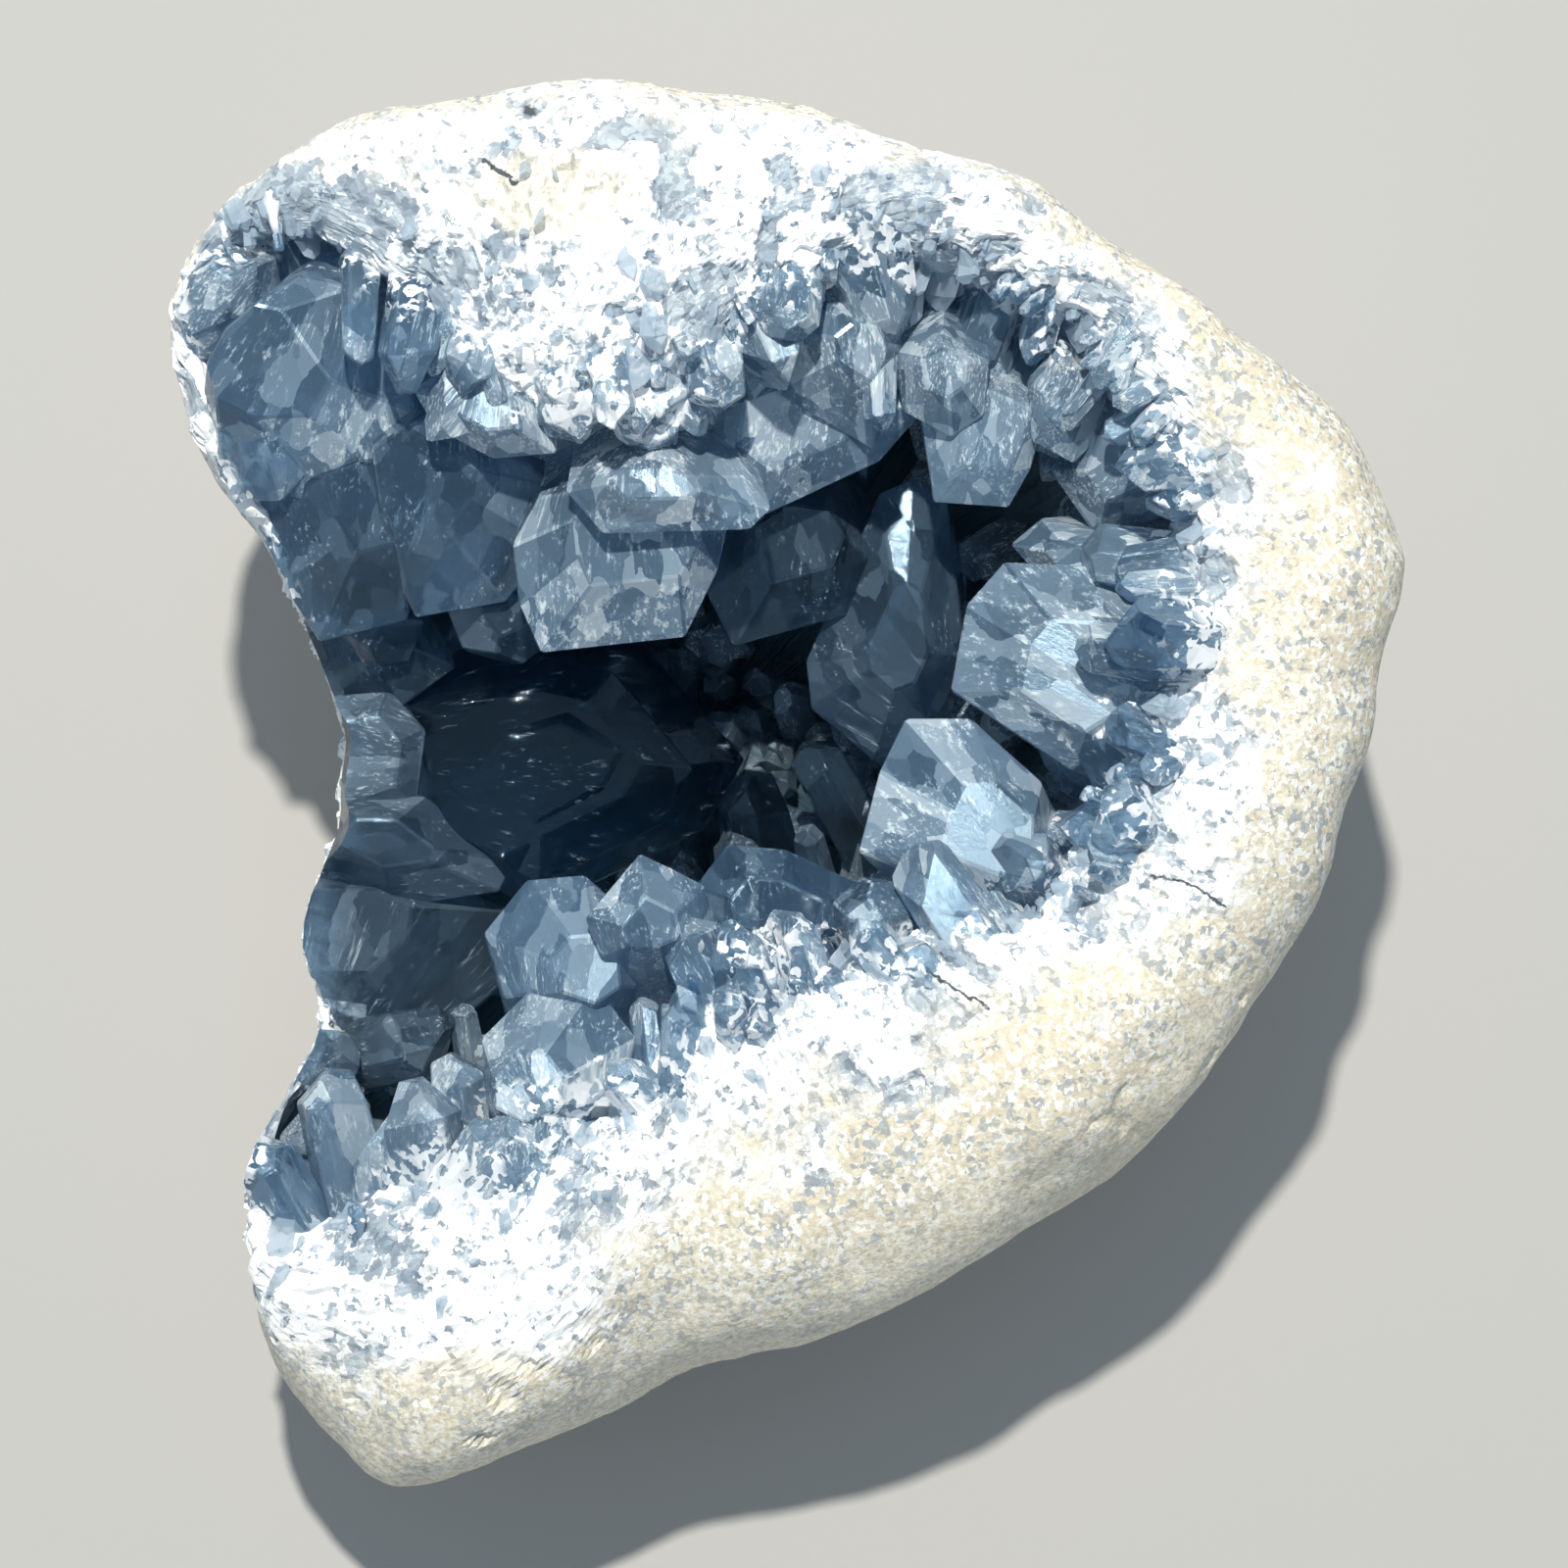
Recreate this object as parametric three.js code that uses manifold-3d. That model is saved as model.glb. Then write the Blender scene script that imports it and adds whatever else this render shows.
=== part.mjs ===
// A celestite geode: a rounded stone nodule broken open at its face and down one side, and the crust of
// blue celestine crystals that lines its hollow. Millimetres, +Z up, origin at the middle of the small
// flat spot that the nodule rests on.
//
// Everything is laid out in the mouth's own frame first: u runs to the right across the face, v up the
// face and w out of the hollow. The mouth then leans back by LEAN, and the nodule is set on its flat.

import * as THREE from "three";
import { ConvexGeometry } from "three/addons/geometries/ConvexGeometry.js";
import { mergeVertices } from "three/addons/utils/BufferGeometryUtils.js";
import Module from "manifold-3d";

const manifold = await Module();
manifold.setup();

// Driving dimensions
const LEAN = THREE.MathUtils.degToRad(20); // the mouth's axis leans this far from straight up
const CENTRE = { u: -12, v: 3 }; // the middle of the mouth, which outlines are measured from
const BACK_DEPTH = 70; // from the face plane to the back of the nodule
const BACK_SHIFT = { u: 14, v: 25 }; // the back of the nodule lies this far off the mouth's middle
const FLOOR_DEPTH = 40; // from the face plane to the bottom of the hollow
const FLOOR_SHIFT = { u: 3, v: 3 };
const WALL = 16; // stone left beside the hollow where it widens under the rim
const UNDERCUT = 0.45; // how much of the room under the rim the hollow takes, from 0 to 1
const LIP_SHARE = 0.5; // height of the rim's inner edge, as a share of its crest
const LINING = 4.5; // the layer of small crystals that the crust stands on
const LINING_TOP = 0.05; // where it stops under the rim's inner edge, as a part of the wall
const SKIN_SHARE = 0.95; // crystals stop this share of the way out to the nodule's skin
const OVERHANG = 1.5; // how far crystals stand out past the nodule's edge above it
const ROOM_TOP = 40; // no crystal rises higher than this above the face
const CLEARANCE = 0.35; // between the stone and the crust
const REST_DROP = 56.5; // from the middle of the face down to the flat spot
const REST_AT = { x: 3.5, y: 17.8 }; // the middle of the flat spot, under the middle of the face

// Grid of the shell: steps round the mouth, and steps from the back, over the rim, to the hollow's floor
const ROUND_STEPS = 44;
const BACK_ROWS = 11;
const RIM_ROWS = 7;
const HOLLOW_ROWS = 7;
const LINING_STEPS = 22;
const LINING_ROWS = 4;

// Outer edge of the nodule, seen into the mouth
const NODULE_EDGE = [
  [-23, 75], [-10, 73.5], [2, 72], [13, 68], [29, 62], [41.5, 53.5], [56, 44], [62, 38.5], [65.5, 31],
  [66.5, 24], [65, 13], [61.5, 0], [54, -18], [41, -35.5], [26.5, -47], [12, -55.5], [-3, -60.5],
  [-14.5, -65], [-26, -70.5], [-41, -75], [-47, -71], [-54.5, -62.5], [-58, -49], [-57, -40.5],
  [-52, -28], [-51.5, -16.5], [-48, -5], [-46.5, 0], [-47, 6], [-50, 15], [-56, 25], [-62.5, 37.5],
  [-66, 50], [-60.5, 61], [-49, 68.5], [-37.5, 72.5],
];
// Inner edge of the rim, where the crystals begin
const RIM_EDGE = [
  [36.5, 4], [40.5, 20], [40.5, 33], [33, 43.5], [22, 51], [10.5, 53], [-1, 49], [-10.5, 42],
  [-21, 39.5], [-29, 42], [-38.5, 49], [-48, 56], [-57, 56], [-62, 49], [-59, 37], [-53, 25], [-48, 15],
  [-45.5, 6], [-45, -1], [-47, -8], [-50, -18], [-50.5, -28], [-54.5, -39], [-53, -48], [-46, -46],
  [-38, -42],
  [-29, -39.5], [-19, -35], [-11.5, -25], [-4, -21], [6, -20], [15.5, -15.5], [26, -12.5], [32, -4],
];
// How full the nodule's back is at angles round the mouth: 2 is an ellipse, more is squarer
const BACK_FULLNESS = [[0, 2.3], [50, 2.5], [95, 2.7], [140, 2.3], [185, 2.1], [225, 1.6], [255, 1.55],
  [290, 1.8], [330, 2.1]];
// Height of the widest part of the nodule, and of the rim's crest above it, at angles round the mouth
const EDGE_HEIGHT = [[0, 0], [60, 1], [110, 0], [135, -4], [152, -9], [168, -30], [185, -34], [205, -31],
  [219, -20], [232, -6], [280, 0], [320, 1]];
const CREST_HEIGHT = [[0, 13], [60, 11], [100, 12], [130, 6], [152, 4], [185, 3], [210, 3], [230, 9],
  [250, 15], [290, 16], [330, 14]];

// Lumps on the stone: height, the wave's direction and number (radians per mm), and its start
const LUMPS = [
  [1.1, 0.09, 0.05, 0.04, 0.3], [0.9, -0.06, 0.1, 0.07, 1.9], [0.7, 0.16, -0.11, 0.12, 4.0],
  [0.5, 0.05, 0.22, -0.17, 2.2], [0.4, -0.29, 0.13, 0.21, 5.1],
];
// Dents and broken spots: where, how wide and how deep
const DENTS = [
  { at: [14, 53, 10], across: 6, depth: 2.6 }, { at: [10, 61, 8], across: 4.5, depth: 1.6 },
  { at: [-7, -61, 2], across: 7, depth: 2.2 }, { at: [60, -2, 4], across: 7, depth: 1.8 },
  { at: [24, -40, 9], across: 5, depth: 1.4 }, { at: [20, 30, -52], across: 12, depth: 2.6 },
  { at: [-50, 62, -6], across: 7, depth: 1.6 }, { at: [-30, -60, -22], across: 10, depth: 2.2 },
];

// The crust's large crystals. Each has the outline that its body shows to the mouth, the height of its
// flat table face and the face's rise along u and v, the table's share of the outline and its shift, the
// depth of the bevels round it, and where its root lies from there in the wall behind.
const TABLED_CRYSTALS = [
  // hanging from the upper left of the rim
  { outline: [[-63, 55.5], [-60, 57], [-56.5, 54.5], [-57, 49.5], [-60, 46.5], [-64, 45], [-66, 49]],
    height: 2, rise: [0.3, 0.1], table: 0.72, shift: [0, 0], bevel: 3, root: [5, 4, -8] },
  { outline: [[-60, 41.5], [-56.5, 47.5], [-51, 52], [-46, 51], [-37.5, 38.5], [-41.5, 32], [-51.5, 31.5],
    [-58.5, 35]],
    height: 6, rise: [-0.05, 0.2], table: 0.66, shift: [-2.5, 1.5], bevel: 5, root: [3, 10, -18] },
  { outline: [[-60, 36], [-56, 38.5], [-51, 37], [-51, 33], [-53.5, 30.5], [-58, 30.5]],
    height: 3, rise: [0.2, 0.1], table: 0.6, shift: [0, 1], bevel: 3, root: [2, 8, -14] },
  { outline: [[-56.5, 30], [-49, 32.5], [-40.5, 31], [-39, 25], [-41.5, 18.5], [-50, 16.5], [-54, 23]],
    height: 1, rise: [0.1, 0.3], table: 0.68, shift: [2, 2.5], bevel: 6, root: [2, 12, -16] },
  { outline: [[-43, 34], [-36.5, 38.5], [-25, 31], [-26, 26], [-30.5, 20.5], [-39, 19], [-42, 25]],
    height: 2.5, rise: [-0.1, 0.35], table: 0.7, shift: [-2, 2], bevel: 5, root: [0, 12, -16] },
  { outline: [[-38, 41], [-31.5, 46.5], [-25.5, 39.5], [-24.5, 35], [-30.5, 34.5], [-36, 37.5]],
    height: 9, rise: [0.1, -0.2], table: 0.6, shift: [0, 0], bevel: 4, root: [1, 6, -12] },
  // hanging from the top of the rim
  { outline: [[-27.5, 25], [-25, 29.5], [-16.5, 31], [-7, 29], [-8.5, 22.5], [-11.5, 16.5], [-25, 15],
    [-27, 19.5]],
    height: 4, rise: [-0.05, 0.15], table: 0.8, shift: [1.5, 1.8], bevel: 4, root: [0, 13, -15] },
  { outline: [[-21.5, 30.5], [-17.5, 33.5], [-10.5, 34], [-5, 32], [-2.5, 29], [-4.5, 27], [-18, 26.5]],
    height: 9, rise: [-0.1, -0.25], table: 0.55, shift: [-1, 0.5], bevel: 3.5, root: [-1, 9, -10] },
  { outline: [[-7.5, 33.5], [-6.5, 40], [0, 42.5], [13.5, 39.5], [9, 34.5], [-2, 29.5]],
    height: 2, rise: [0, 0.35], table: 0.8, shift: [0, 0.8], bevel: 2.5, root: [2, 10, -13] },
  { outline: [[-2, 47.5], [3, 51.5], [10, 50.5], [12.5, 46], [9, 36.5], [0, 41.5]],
    height: 8, rise: [-0.25, 0.1], table: 0.45, shift: [1.5, 0], bevel: 5, root: [0, 7, -12] },
  { outline: [[15, 40], [20.5, 42], [27, 39], [25.5, 33.5], [23.5, 30], [16.5, 30.5]],
    height: 4, rise: [0.05, 0.1], table: 0.76, shift: [0.5, 0.8], bevel: 3, root: [2, 12, -14] },
  { outline: [[12, 45], [16.5, 47], [21, 44], [20.5, 39], [17.5, 37], [13, 39.5]],
    height: 7, rise: [0.2, 0.1], table: 0.6, shift: [0, 0.5], bevel: 3, root: [1, 9, -12] },
  { outline: [[26, 42], [29, 45.5], [33.5, 43], [33.5, 37.5], [30.5, 34.5], [26.5, 36.5]],
    height: 6, rise: [-0.2, 0.2], table: 0.55, shift: [-0.5, 0], bevel: 3, root: [3, 8, -11] },
  { outline: [[-7.5, 26.5], [-2, 30], [5, 29], [8, 24.5], [6, 19], [-5, 16], [-7.5, 21]],
    height: -7, rise: [0.05, 0.2], table: 0.7, shift: [1, 1.5], bevel: 4, root: [2, 14, -18] },
  // from the right-hand wall
  { outline: [[29.5, 33.5], [32.5, 40.5], [38.5, 41.5], [42, 36], [40.5, 29.5], [34, 27]],
    height: 3, rise: [0.3, 0.2], table: 0.6, shift: [-0.5, -0.5], bevel: 4, root: [5, 3, -12] },
  { outline: [[25, 25.5], [28, 28], [33.5, 26.5], [36.5, 22.5], [33.5, 20.5], [29, 21]],
    height: 0, rise: [0.25, 0], table: 0.6, shift: [0, 0], bevel: 3, root: [8, 2, -9] },
  { outline: [[19, 10.5], [20.5, 18.5], [23.5, 22], [30, 21.5], [34, 16], [32.5, 7.5], [28, 4]],
    height: 5, rise: [0.1, -0.1], table: 0.82, shift: [1, -1.2], bevel: 3, root: [8, -5, -16] },
  { outline: [[9, -6.5], [11, 1], [13.5, 6], [19.5, 6], [26, 0], [25.5, -7.5], [20.5, -11]],
    height: 6, rise: [0.15, -0.25], table: 0.66, shift: [2, -1.5], bevel: 4, root: [7, -9, -15] },
  // standing in the hollow
  { outline: [[10.5, 30], [14, 31.5], [17, 29.5], [19, 14.5], [15.5, 6.5], [10, 4.5], [4, 9.5], [3.5, 14]],
    height: -9, rise: [0, 0.22], table: 0.5, shift: [0.5, -1], bevel: 5, root: [4, -5, -19] },
  { outline: [[-43, 9.5], [-35, 14], [-26, 16.5], [-17.5, 15], [-7, 3], [-11, -4], [-27.5, -12],
    [-38, -6.5]],
    height: -18, rise: [-0.06, -0.05], table: 0.7, shift: [-2.5, -1.5], bevel: 6, root: [-2, 0, -16] },
  // along the broken left side
  { outline: [[-49, 8.5], [-42, 9.5], [-39.5, 5.5], [-40.5, -2], [-44, -3.5], [-49, -3]],
    height: -15, rise: [0.05, 0.1], table: 0.8, shift: [0, 0], bevel: 2, root: [2, 0, -16] },
  { outline: [[-49, -6.5], [-45, -2], [-38.5, -2], [-31.5, -8.5], [-33, -11.5], [-41, -12.5]],
    height: -14, rise: [-0.15, 0.2], table: 0.55, shift: [-1, 0.5], bevel: 4, root: [-3, 0, -16] },
  { outline: [[-52, 15.5], [-47.5, 19], [-38.5, 17.5], [-37, 13], [-42, 9], [-49.5, 10]],
    height: -12, rise: [0, 0.3], table: 0.6, shift: [0, 1], bevel: 4, root: [-1, 6, -17] },
  { outline: [[-54, -18], [-49, -12], [-40, -11.5], [-32, -15], [-33, -22], [-40, -29], [-51, -29]],
    height: -17, rise: [-0.2, 0.15], table: 0.62, shift: [-2, 2], bevel: 6, root: [-1, -2, -14] },
  // standing on the lower rim
  { outline: [[-31, -16], [-27, -11], [-21.5, -10.5], [-17, -14.5], [-16.5, -21], [-21.5, -24.5],
    [-29, -22]],
    height: 4, rise: [0.1, -0.15], table: 0.6, shift: [1.5, -1.2], bevel: 5, root: [0, -10, -14] },
  { outline: [[-20, -14], [-15, -8], [-9, -11], [-8, -16], [-12.5, -18], [-18.5, -17.5]],
    height: 7, rise: [-0.15, -0.1], table: 0.6, shift: [0, -0.5], bevel: 3, root: [1, -9, -12] },
  { outline: [[-31, -27], [-26.5, -22.5], [-20.5, -22], [-16.5, -27], [-18.5, -33], [-24.5, -36],
    [-30.5, -33]],
    height: 8, rise: [0.15, -0.2], table: 0.6, shift: [-1.5, -1.5], bevel: 5, root: [1, -8, -14] },
  { outline: [[-8.5, -11], [-5.5, -7], [0, -7.5], [7.5, -11], [6.5, -15.5], [0, -16.5], [-7.5, -16]],
    height: 2, rise: [0, -0.3], table: 0.7, shift: [0, -0.5], bevel: 3, root: [1, -8, -12] },
];
const BODY_SHARE = 1.08; // its body is this much larger than the outline, so that neighbours meet
const ROOT_SHARE = 0.95; // a tabled crystal's root is this share of its outline

// The crust's pointed crystals, from the root in the wall to the tip: width across the face, thickness
// into it, turn about the growth line, and the slopes of the two pairs of end faces, in degrees.
const POINTED_CRYSTALS = [
  { root: [-45, 58, -3], tip: [-44, 43.5, 11], width: 5, thick: 5, turn: 30, ends: [55, 50] },
  { root: [-38, 56, -2], tip: [-39.5, 41, 12], width: 7, thick: 6, turn: 10, ends: [58, 40] },
  { root: [10, 48, 2], tip: [10, 37, 8], width: 4, thick: 4, turn: 10, ends: [40, 30] },
  { root: [36, 16, -20], tip: [20, 13, -8], width: 11, thick: 10, turn: 30, ends: [40, 36] },
  { root: [10, -8, -34], tip: [3, 4, -20], width: 8, thick: 6, turn: 40, ends: [40, 40] },
  { root: [-2, -10, -36], tip: [-4, 0, -24], width: 9, thick: 7, turn: -25, ends: [42, 36] },
  { root: [-43, 28, -24], tip: [-45, 14, -10], width: 12, thick: 9, turn: 24, ends: [34, 40] },
  { root: [-30, 30, -26], tip: [-31, 15, -8], width: 13, thick: 10, turn: -14, ends: [30, 44] },
  { root: [-50, -31, -26], tip: [-38, -28, -14], width: 10, thick: 9, turn: 34, ends: [40, 30] },
  { root: [-54, -32, -22], tip: [-49, -30, -11], width: 9, thick: 8, turn: 10, ends: [30, 44] },
  { root: [-38, -46, -4], tip: [-38, -32, 6], width: 9, thick: 8, turn: 22, ends: [44, 30] },
  { root: [-46, -47, -10], tip: [-49, -31, -2], width: 9, thick: 9, turn: -20, ends: [40, 34] },
  { root: [-50, -54, -8], tip: [-57, -38, -2], width: 9, thick: 9, turn: 15, ends: [36, 40] },
  { root: [-33, -42, -8], tip: [-35, -29, 0], width: 8, thick: 7, turn: 35, ends: [44, 36] },
  { root: [10, -21, -4], tip: [9, -11, 6], width: 9, thick: 7, turn: -20, ends: [34, 38] },
  { root: [29, -12, -2], tip: [24, -7, 9], width: 8, thick: 7, turn: 10, ends: [40, 30] },
  { root: [-55, -5, -34], tip: [-51, -9, -18], width: 10, thick: 8, turn: 30, ends: [36, 40] },
  { root: [-53, 3, -34], tip: [-52, 3, -22], width: 9, thick: 8, turn: -10, ends: [30, 40] },
];
// Small crystals between them: rings down the hollow's wall, how many in each, and how long they are
const FILLER_RINGS = [
  { down: 0.04, count: 19, long: 8 }, { down: 0.22, count: 12, long: 10 }, { down: 0.45, count: 8, long: 12 },
  { down: 0.68, count: 7, long: 12 }, { down: 0.86, count: 3, long: 11 },
];
const FILLER_WIDTH = 8.5;
const LEAN_IN = 0.05; // how fast the sides of a pointed crystal close towards its tip
const SIDE_SLOPE = 38; // its narrow sides meet at this angle off square
const RIDGE_SHARE = 0.09; // its second pair of end faces starts this share of its width later
const ROOT_BELOW = 4; // crystals reach this far down behind their root
const SEED = 4127;

const { sin, cos, tan, PI, hypot, min, max } = Math;
const TURN = 2 * PI;
const radians = THREE.MathUtils.degToRad;
const mix = THREE.MathUtils.lerp;

// A repeatable run of numbers from 0 to 1.
function randomRun(seed) {
  let state = seed;
  return () => {
    state = (state * 16807) % 2147483647;
    return state / 2147483647;
  };
}

// A value that runs smoothly through [angle, value] pairs all the way round, as a cubic with the slope at
// each pair taken from its two neighbours.
function roundCurve(pairs) {
  const knots = pairs.map(([at, value]) => [((at % TURN) + TURN) % TURN, value]);
  knots.sort((a, b) => a[0] - b[0]);
  const count = knots.length;
  const knot = (i) => {
    const turns = Math.floor(i / count);
    const [at, value] = knots[i - turns * count];
    return [at + turns * TURN, value];
  };
  const slope = (i) => {
    const [before, low] = knot(i - 1);
    const [after, high] = knot(i + 1);
    return (high - low) / (after - before);
  };
  return (angle) => {
    const at = ((angle % TURN) + TURN) % TURN;
    let i = -1;
    while (i + 1 < count && knots[i + 1][0] <= at) i += 1;
    const [start, from] = knot(i);
    const [end, to] = knot(i + 1);
    const span = end - start;
    const t = (at - start) / span;
    const curve = from * (2 * t ** 3 - 3 * t ** 2 + 1) + to * (3 * t ** 2 - 2 * t ** 3);
    return curve + span * (slope(i) * (t ** 3 - 2 * t ** 2 + t) + slope(i + 1) * (t ** 3 - t ** 2));
  };
}
const edgeCurve = (points) =>
  roundCurve(points.map(([u, v]) => {
    const across = u - CENTRE.u;
    const up = v - CENTRE.v;
    return [Math.atan2(up, across), hypot(across, up)];
  }));
const heightCurve = (pairs) => roundCurve(pairs.map(([degrees, value]) => [radians(degrees), value]));

const noduleRadius = edgeCurve(NODULE_EDGE);
const rimRadius = edgeCurve(RIM_EDGE);
const backFullness = heightCurve(BACK_FULLNESS);
const edgeHeight = heightCurve(EDGE_HEIGHT);
const crestHeight = heightCurve(CREST_HEIGHT);

// A point at an angle round the mouth, at a distance from its middle.
function around(angle, distance, height, shift, share) {
  return new THREE.Vector3(
    CENTRE.u + shift.u * share + distance * cos(angle),
    CENTRE.v + shift.v * share + distance * sin(angle),
    height,
  );
}
// The outside, from the back (part 0) to the widest line (part 1): a superellipse whose middle moves over
// as it deepens.
function backPoint(angle, part) {
  const power = 2 / backFullness(angle);
  const out = max(sin((part * PI) / 2), 0) ** power;
  const deep = max(cos((part * PI) / 2), 0) ** power;
  const height = mix(edgeHeight(angle), -BACK_DEPTH, deep);
  return around(angle, out * noduleRadius(angle), height, BACK_SHIFT, deep ** 2);
}
// The rim, from the widest line (part 0) over its crest to its inner edge (part 1): a half ellipse whose
// inner half comes down only part of the way.
function rimPoint(angle, part) {
  const swing = part * PI;
  const crest = crestHeight(angle);
  const outer = noduleRadius(angle);
  const distance = mix(outer, rimRadius(angle), (1 - cos(swing)) / 2);
  const foot = part < 0.5 ? 0 : LIP_SHARE * crest;
  return around(angle, distance, edgeHeight(angle) + mix(foot, crest, sin(swing)), FLOOR_SHIFT, 0);
}
// The hollow's wall, from the rim's inner edge (part 0) to the bottom (part 1): it widens under the rim,
// then closes as an ellipse.
function hollowPoint(angle, part) {
  const swing = (part * PI) / 2;
  const lip = rimRadius(angle);
  const room = max(0, noduleRadius(angle) - WALL - lip);
  const distance = (lip + room * UNDERCUT * sin(part * PI)) * max(cos(swing), 0) ** 0.8;
  const top = edgeHeight(angle) + LIP_SHARE * crestHeight(angle);
  return around(angle, distance, mix(top, -FLOOR_DEPTH, sin(swing)), FLOOR_SHIFT, sin(swing));
}
// How far the stone's surface stands out or in at a point.
function relief(point) {
  let height = 0;
  for (const [tall, u, v, w, start] of LUMPS) {
    height += tall * sin(u * point.x + v * point.y + w * point.z + start);
  }
  for (const { at, across, depth } of DENTS) {
    const away = point.distanceTo(new THREE.Vector3(...at)) / across;
    height -= depth * Math.exp(-(away ** 2));
  }
  return height;
}

// A closed ball of a grid whose rows and steps are carried to the points that place() gives.
function movedBall(steps, rows, place) {
  const ball = new THREE.SphereGeometry(1, steps, rows);
  const positions = ball.attributes.position;
  for (let i = 0; i < positions.count; i += 1) {
    const step = i % (steps + 1);
    const row = (i - step) / (steps + 1);
    const point = place(-(step % steps) * (TURN / steps), row);
    positions.setXYZ(i, point.x, point.y, point.z);
  }
  return bare(ball);
}
// A geometry with positions only, and its shared corners merged.
function bare(geometry) {
  geometry.deleteAttribute("normal");
  if (geometry.attributes.uv) geometry.deleteAttribute("uv");
  return mergeVertices(geometry, 1e-4);
}
// Moves a geometry's surface out by amount(point).
function swell(geometry, amount) {
  const grown = geometry.clone();
  grown.computeVertexNormals();
  const { position, normal } = grown.attributes;
  for (let i = 0; i < position.count; i += 1) {
    const point = new THREE.Vector3().fromBufferAttribute(position, i);
    const out = new THREE.Vector3().fromBufferAttribute(normal, i);
    point.addScaledVector(out, amount(point));
    position.setXYZ(i, point.x, point.y, point.z);
  }
  grown.deleteAttribute("normal");
  return grown;
}

function solid(geometry) {
  return new manifold.Manifold(new manifold.Mesh({
    numProp: 3,
    vertProperties: new Float32Array(geometry.attributes.position.array),
    triVerts: new Uint32Array(geometry.index.array),
  }));
}
function surface(body) {
  const { vertProperties, triVerts } = body.getMesh();
  const geometry = new THREE.BufferGeometry();
  geometry.setAttribute("position", new THREE.BufferAttribute(vertProperties, 3));
  geometry.setIndex(new THREE.BufferAttribute(triVerts, 1));
  return geometry;
}
// Keeps a geometry's largest closed surface, which fills sealed pockets and drops loose crumbs.
function largestSurface(geometry) {
  const corners = geometry.index.array;
  const parent = Array.from({ length: geometry.attributes.position.count }, (_, i) => i);
  const find = (i) => {
    let top = i;
    while (parent[top] !== top) top = parent[top];
    parent[i] = top;
    return top;
  };
  for (let i = 0; i < corners.length; i += 3) {
    parent[find(corners[i])] = find(corners[i + 1]);
    parent[find(corners[i + 1])] = find(corners[i + 2]);
  }
  const sizes = new Map();
  for (const corner of corners) sizes.set(find(corner), (sizes.get(find(corner)) ?? 0) + 1);
  const [largest] = [...sizes].sort((a, b) => b[1] - a[1])[0];
  const kept = geometry.clone();
  kept.setIndex(Array.from(corners).filter((_, i) => find(corners[i - (i % 3)]) === largest));
  return kept;
}

// The stone, before its flat spot is cut.
function nodule() {
  const rows = BACK_ROWS + RIM_ROWS + HOLLOW_ROWS;
  const plain = movedBall(ROUND_STEPS, rows, (angle, row) => {
    if (row <= BACK_ROWS) return backPoint(angle, row / BACK_ROWS);
    if (row <= BACK_ROWS + RIM_ROWS) return rimPoint(angle, (row - BACK_ROWS) / RIM_ROWS);
    return hollowPoint(angle, (row - BACK_ROWS - RIM_ROWS) / HOLLOW_ROWS);
  });
  return swell(plain, relief);
}

// The convex block that lies behind every plane, each given as a normal and a distance.
function block(planes) {
  const corners = new Map();
  for (let i = 0; i < planes.length; i += 1) {
    for (let j = i + 1; j < planes.length; j += 1) {
      for (let k = j + 1; k < planes.length; k += 1) {
        const [a, b, c] = [planes[i], planes[j], planes[k]];
        const bc = b.normal.clone().cross(c.normal);
        const size = a.normal.dot(bc);
        if (Math.abs(size) < 1e-6) continue;
        const corner = bc.multiplyScalar(a.away)
          .addScaledVector(c.normal.clone().cross(a.normal), b.away)
          .addScaledVector(a.normal.clone().cross(b.normal), c.away)
          .divideScalar(size);
        if (planes.every((plane) => plane.normal.dot(corner) < plane.away + 1e-5)) {
          corners.set(corner.toArray().map((value) => value.toFixed(3)).join(), corner);
        }
      }
    }
  }
  return bare(new ConvexGeometry([...corners.values()]));
}
// A crystal that shows a broad face: the block round its table, its outline and its root.
function tabledCrystal({ outline, height, rise, table, shift, bevel, root }) {
  const middle = [0, 1].map((k) => outline.reduce((sum, point) => sum + point[k], 0) / outline.length);
  const ring = (share, move, down) => outline.map(([u, v]) => {
    const [across, up] = [(u - middle[0]) * share, (v - middle[1]) * share];
    const level = height - down + rise[0] * across + rise[1] * up;
    return new THREE.Vector3(middle[0] + across + move[0], middle[1] + up + move[1], level);
  });
  const corners = [
    ...ring(table, shift, 0), ...ring(BODY_SHARE, [0, 0], bevel), ...ring(ROOT_SHARE, root, bevel - root[2]),
  ];
  return bare(new ConvexGeometry(corners));
}
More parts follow.
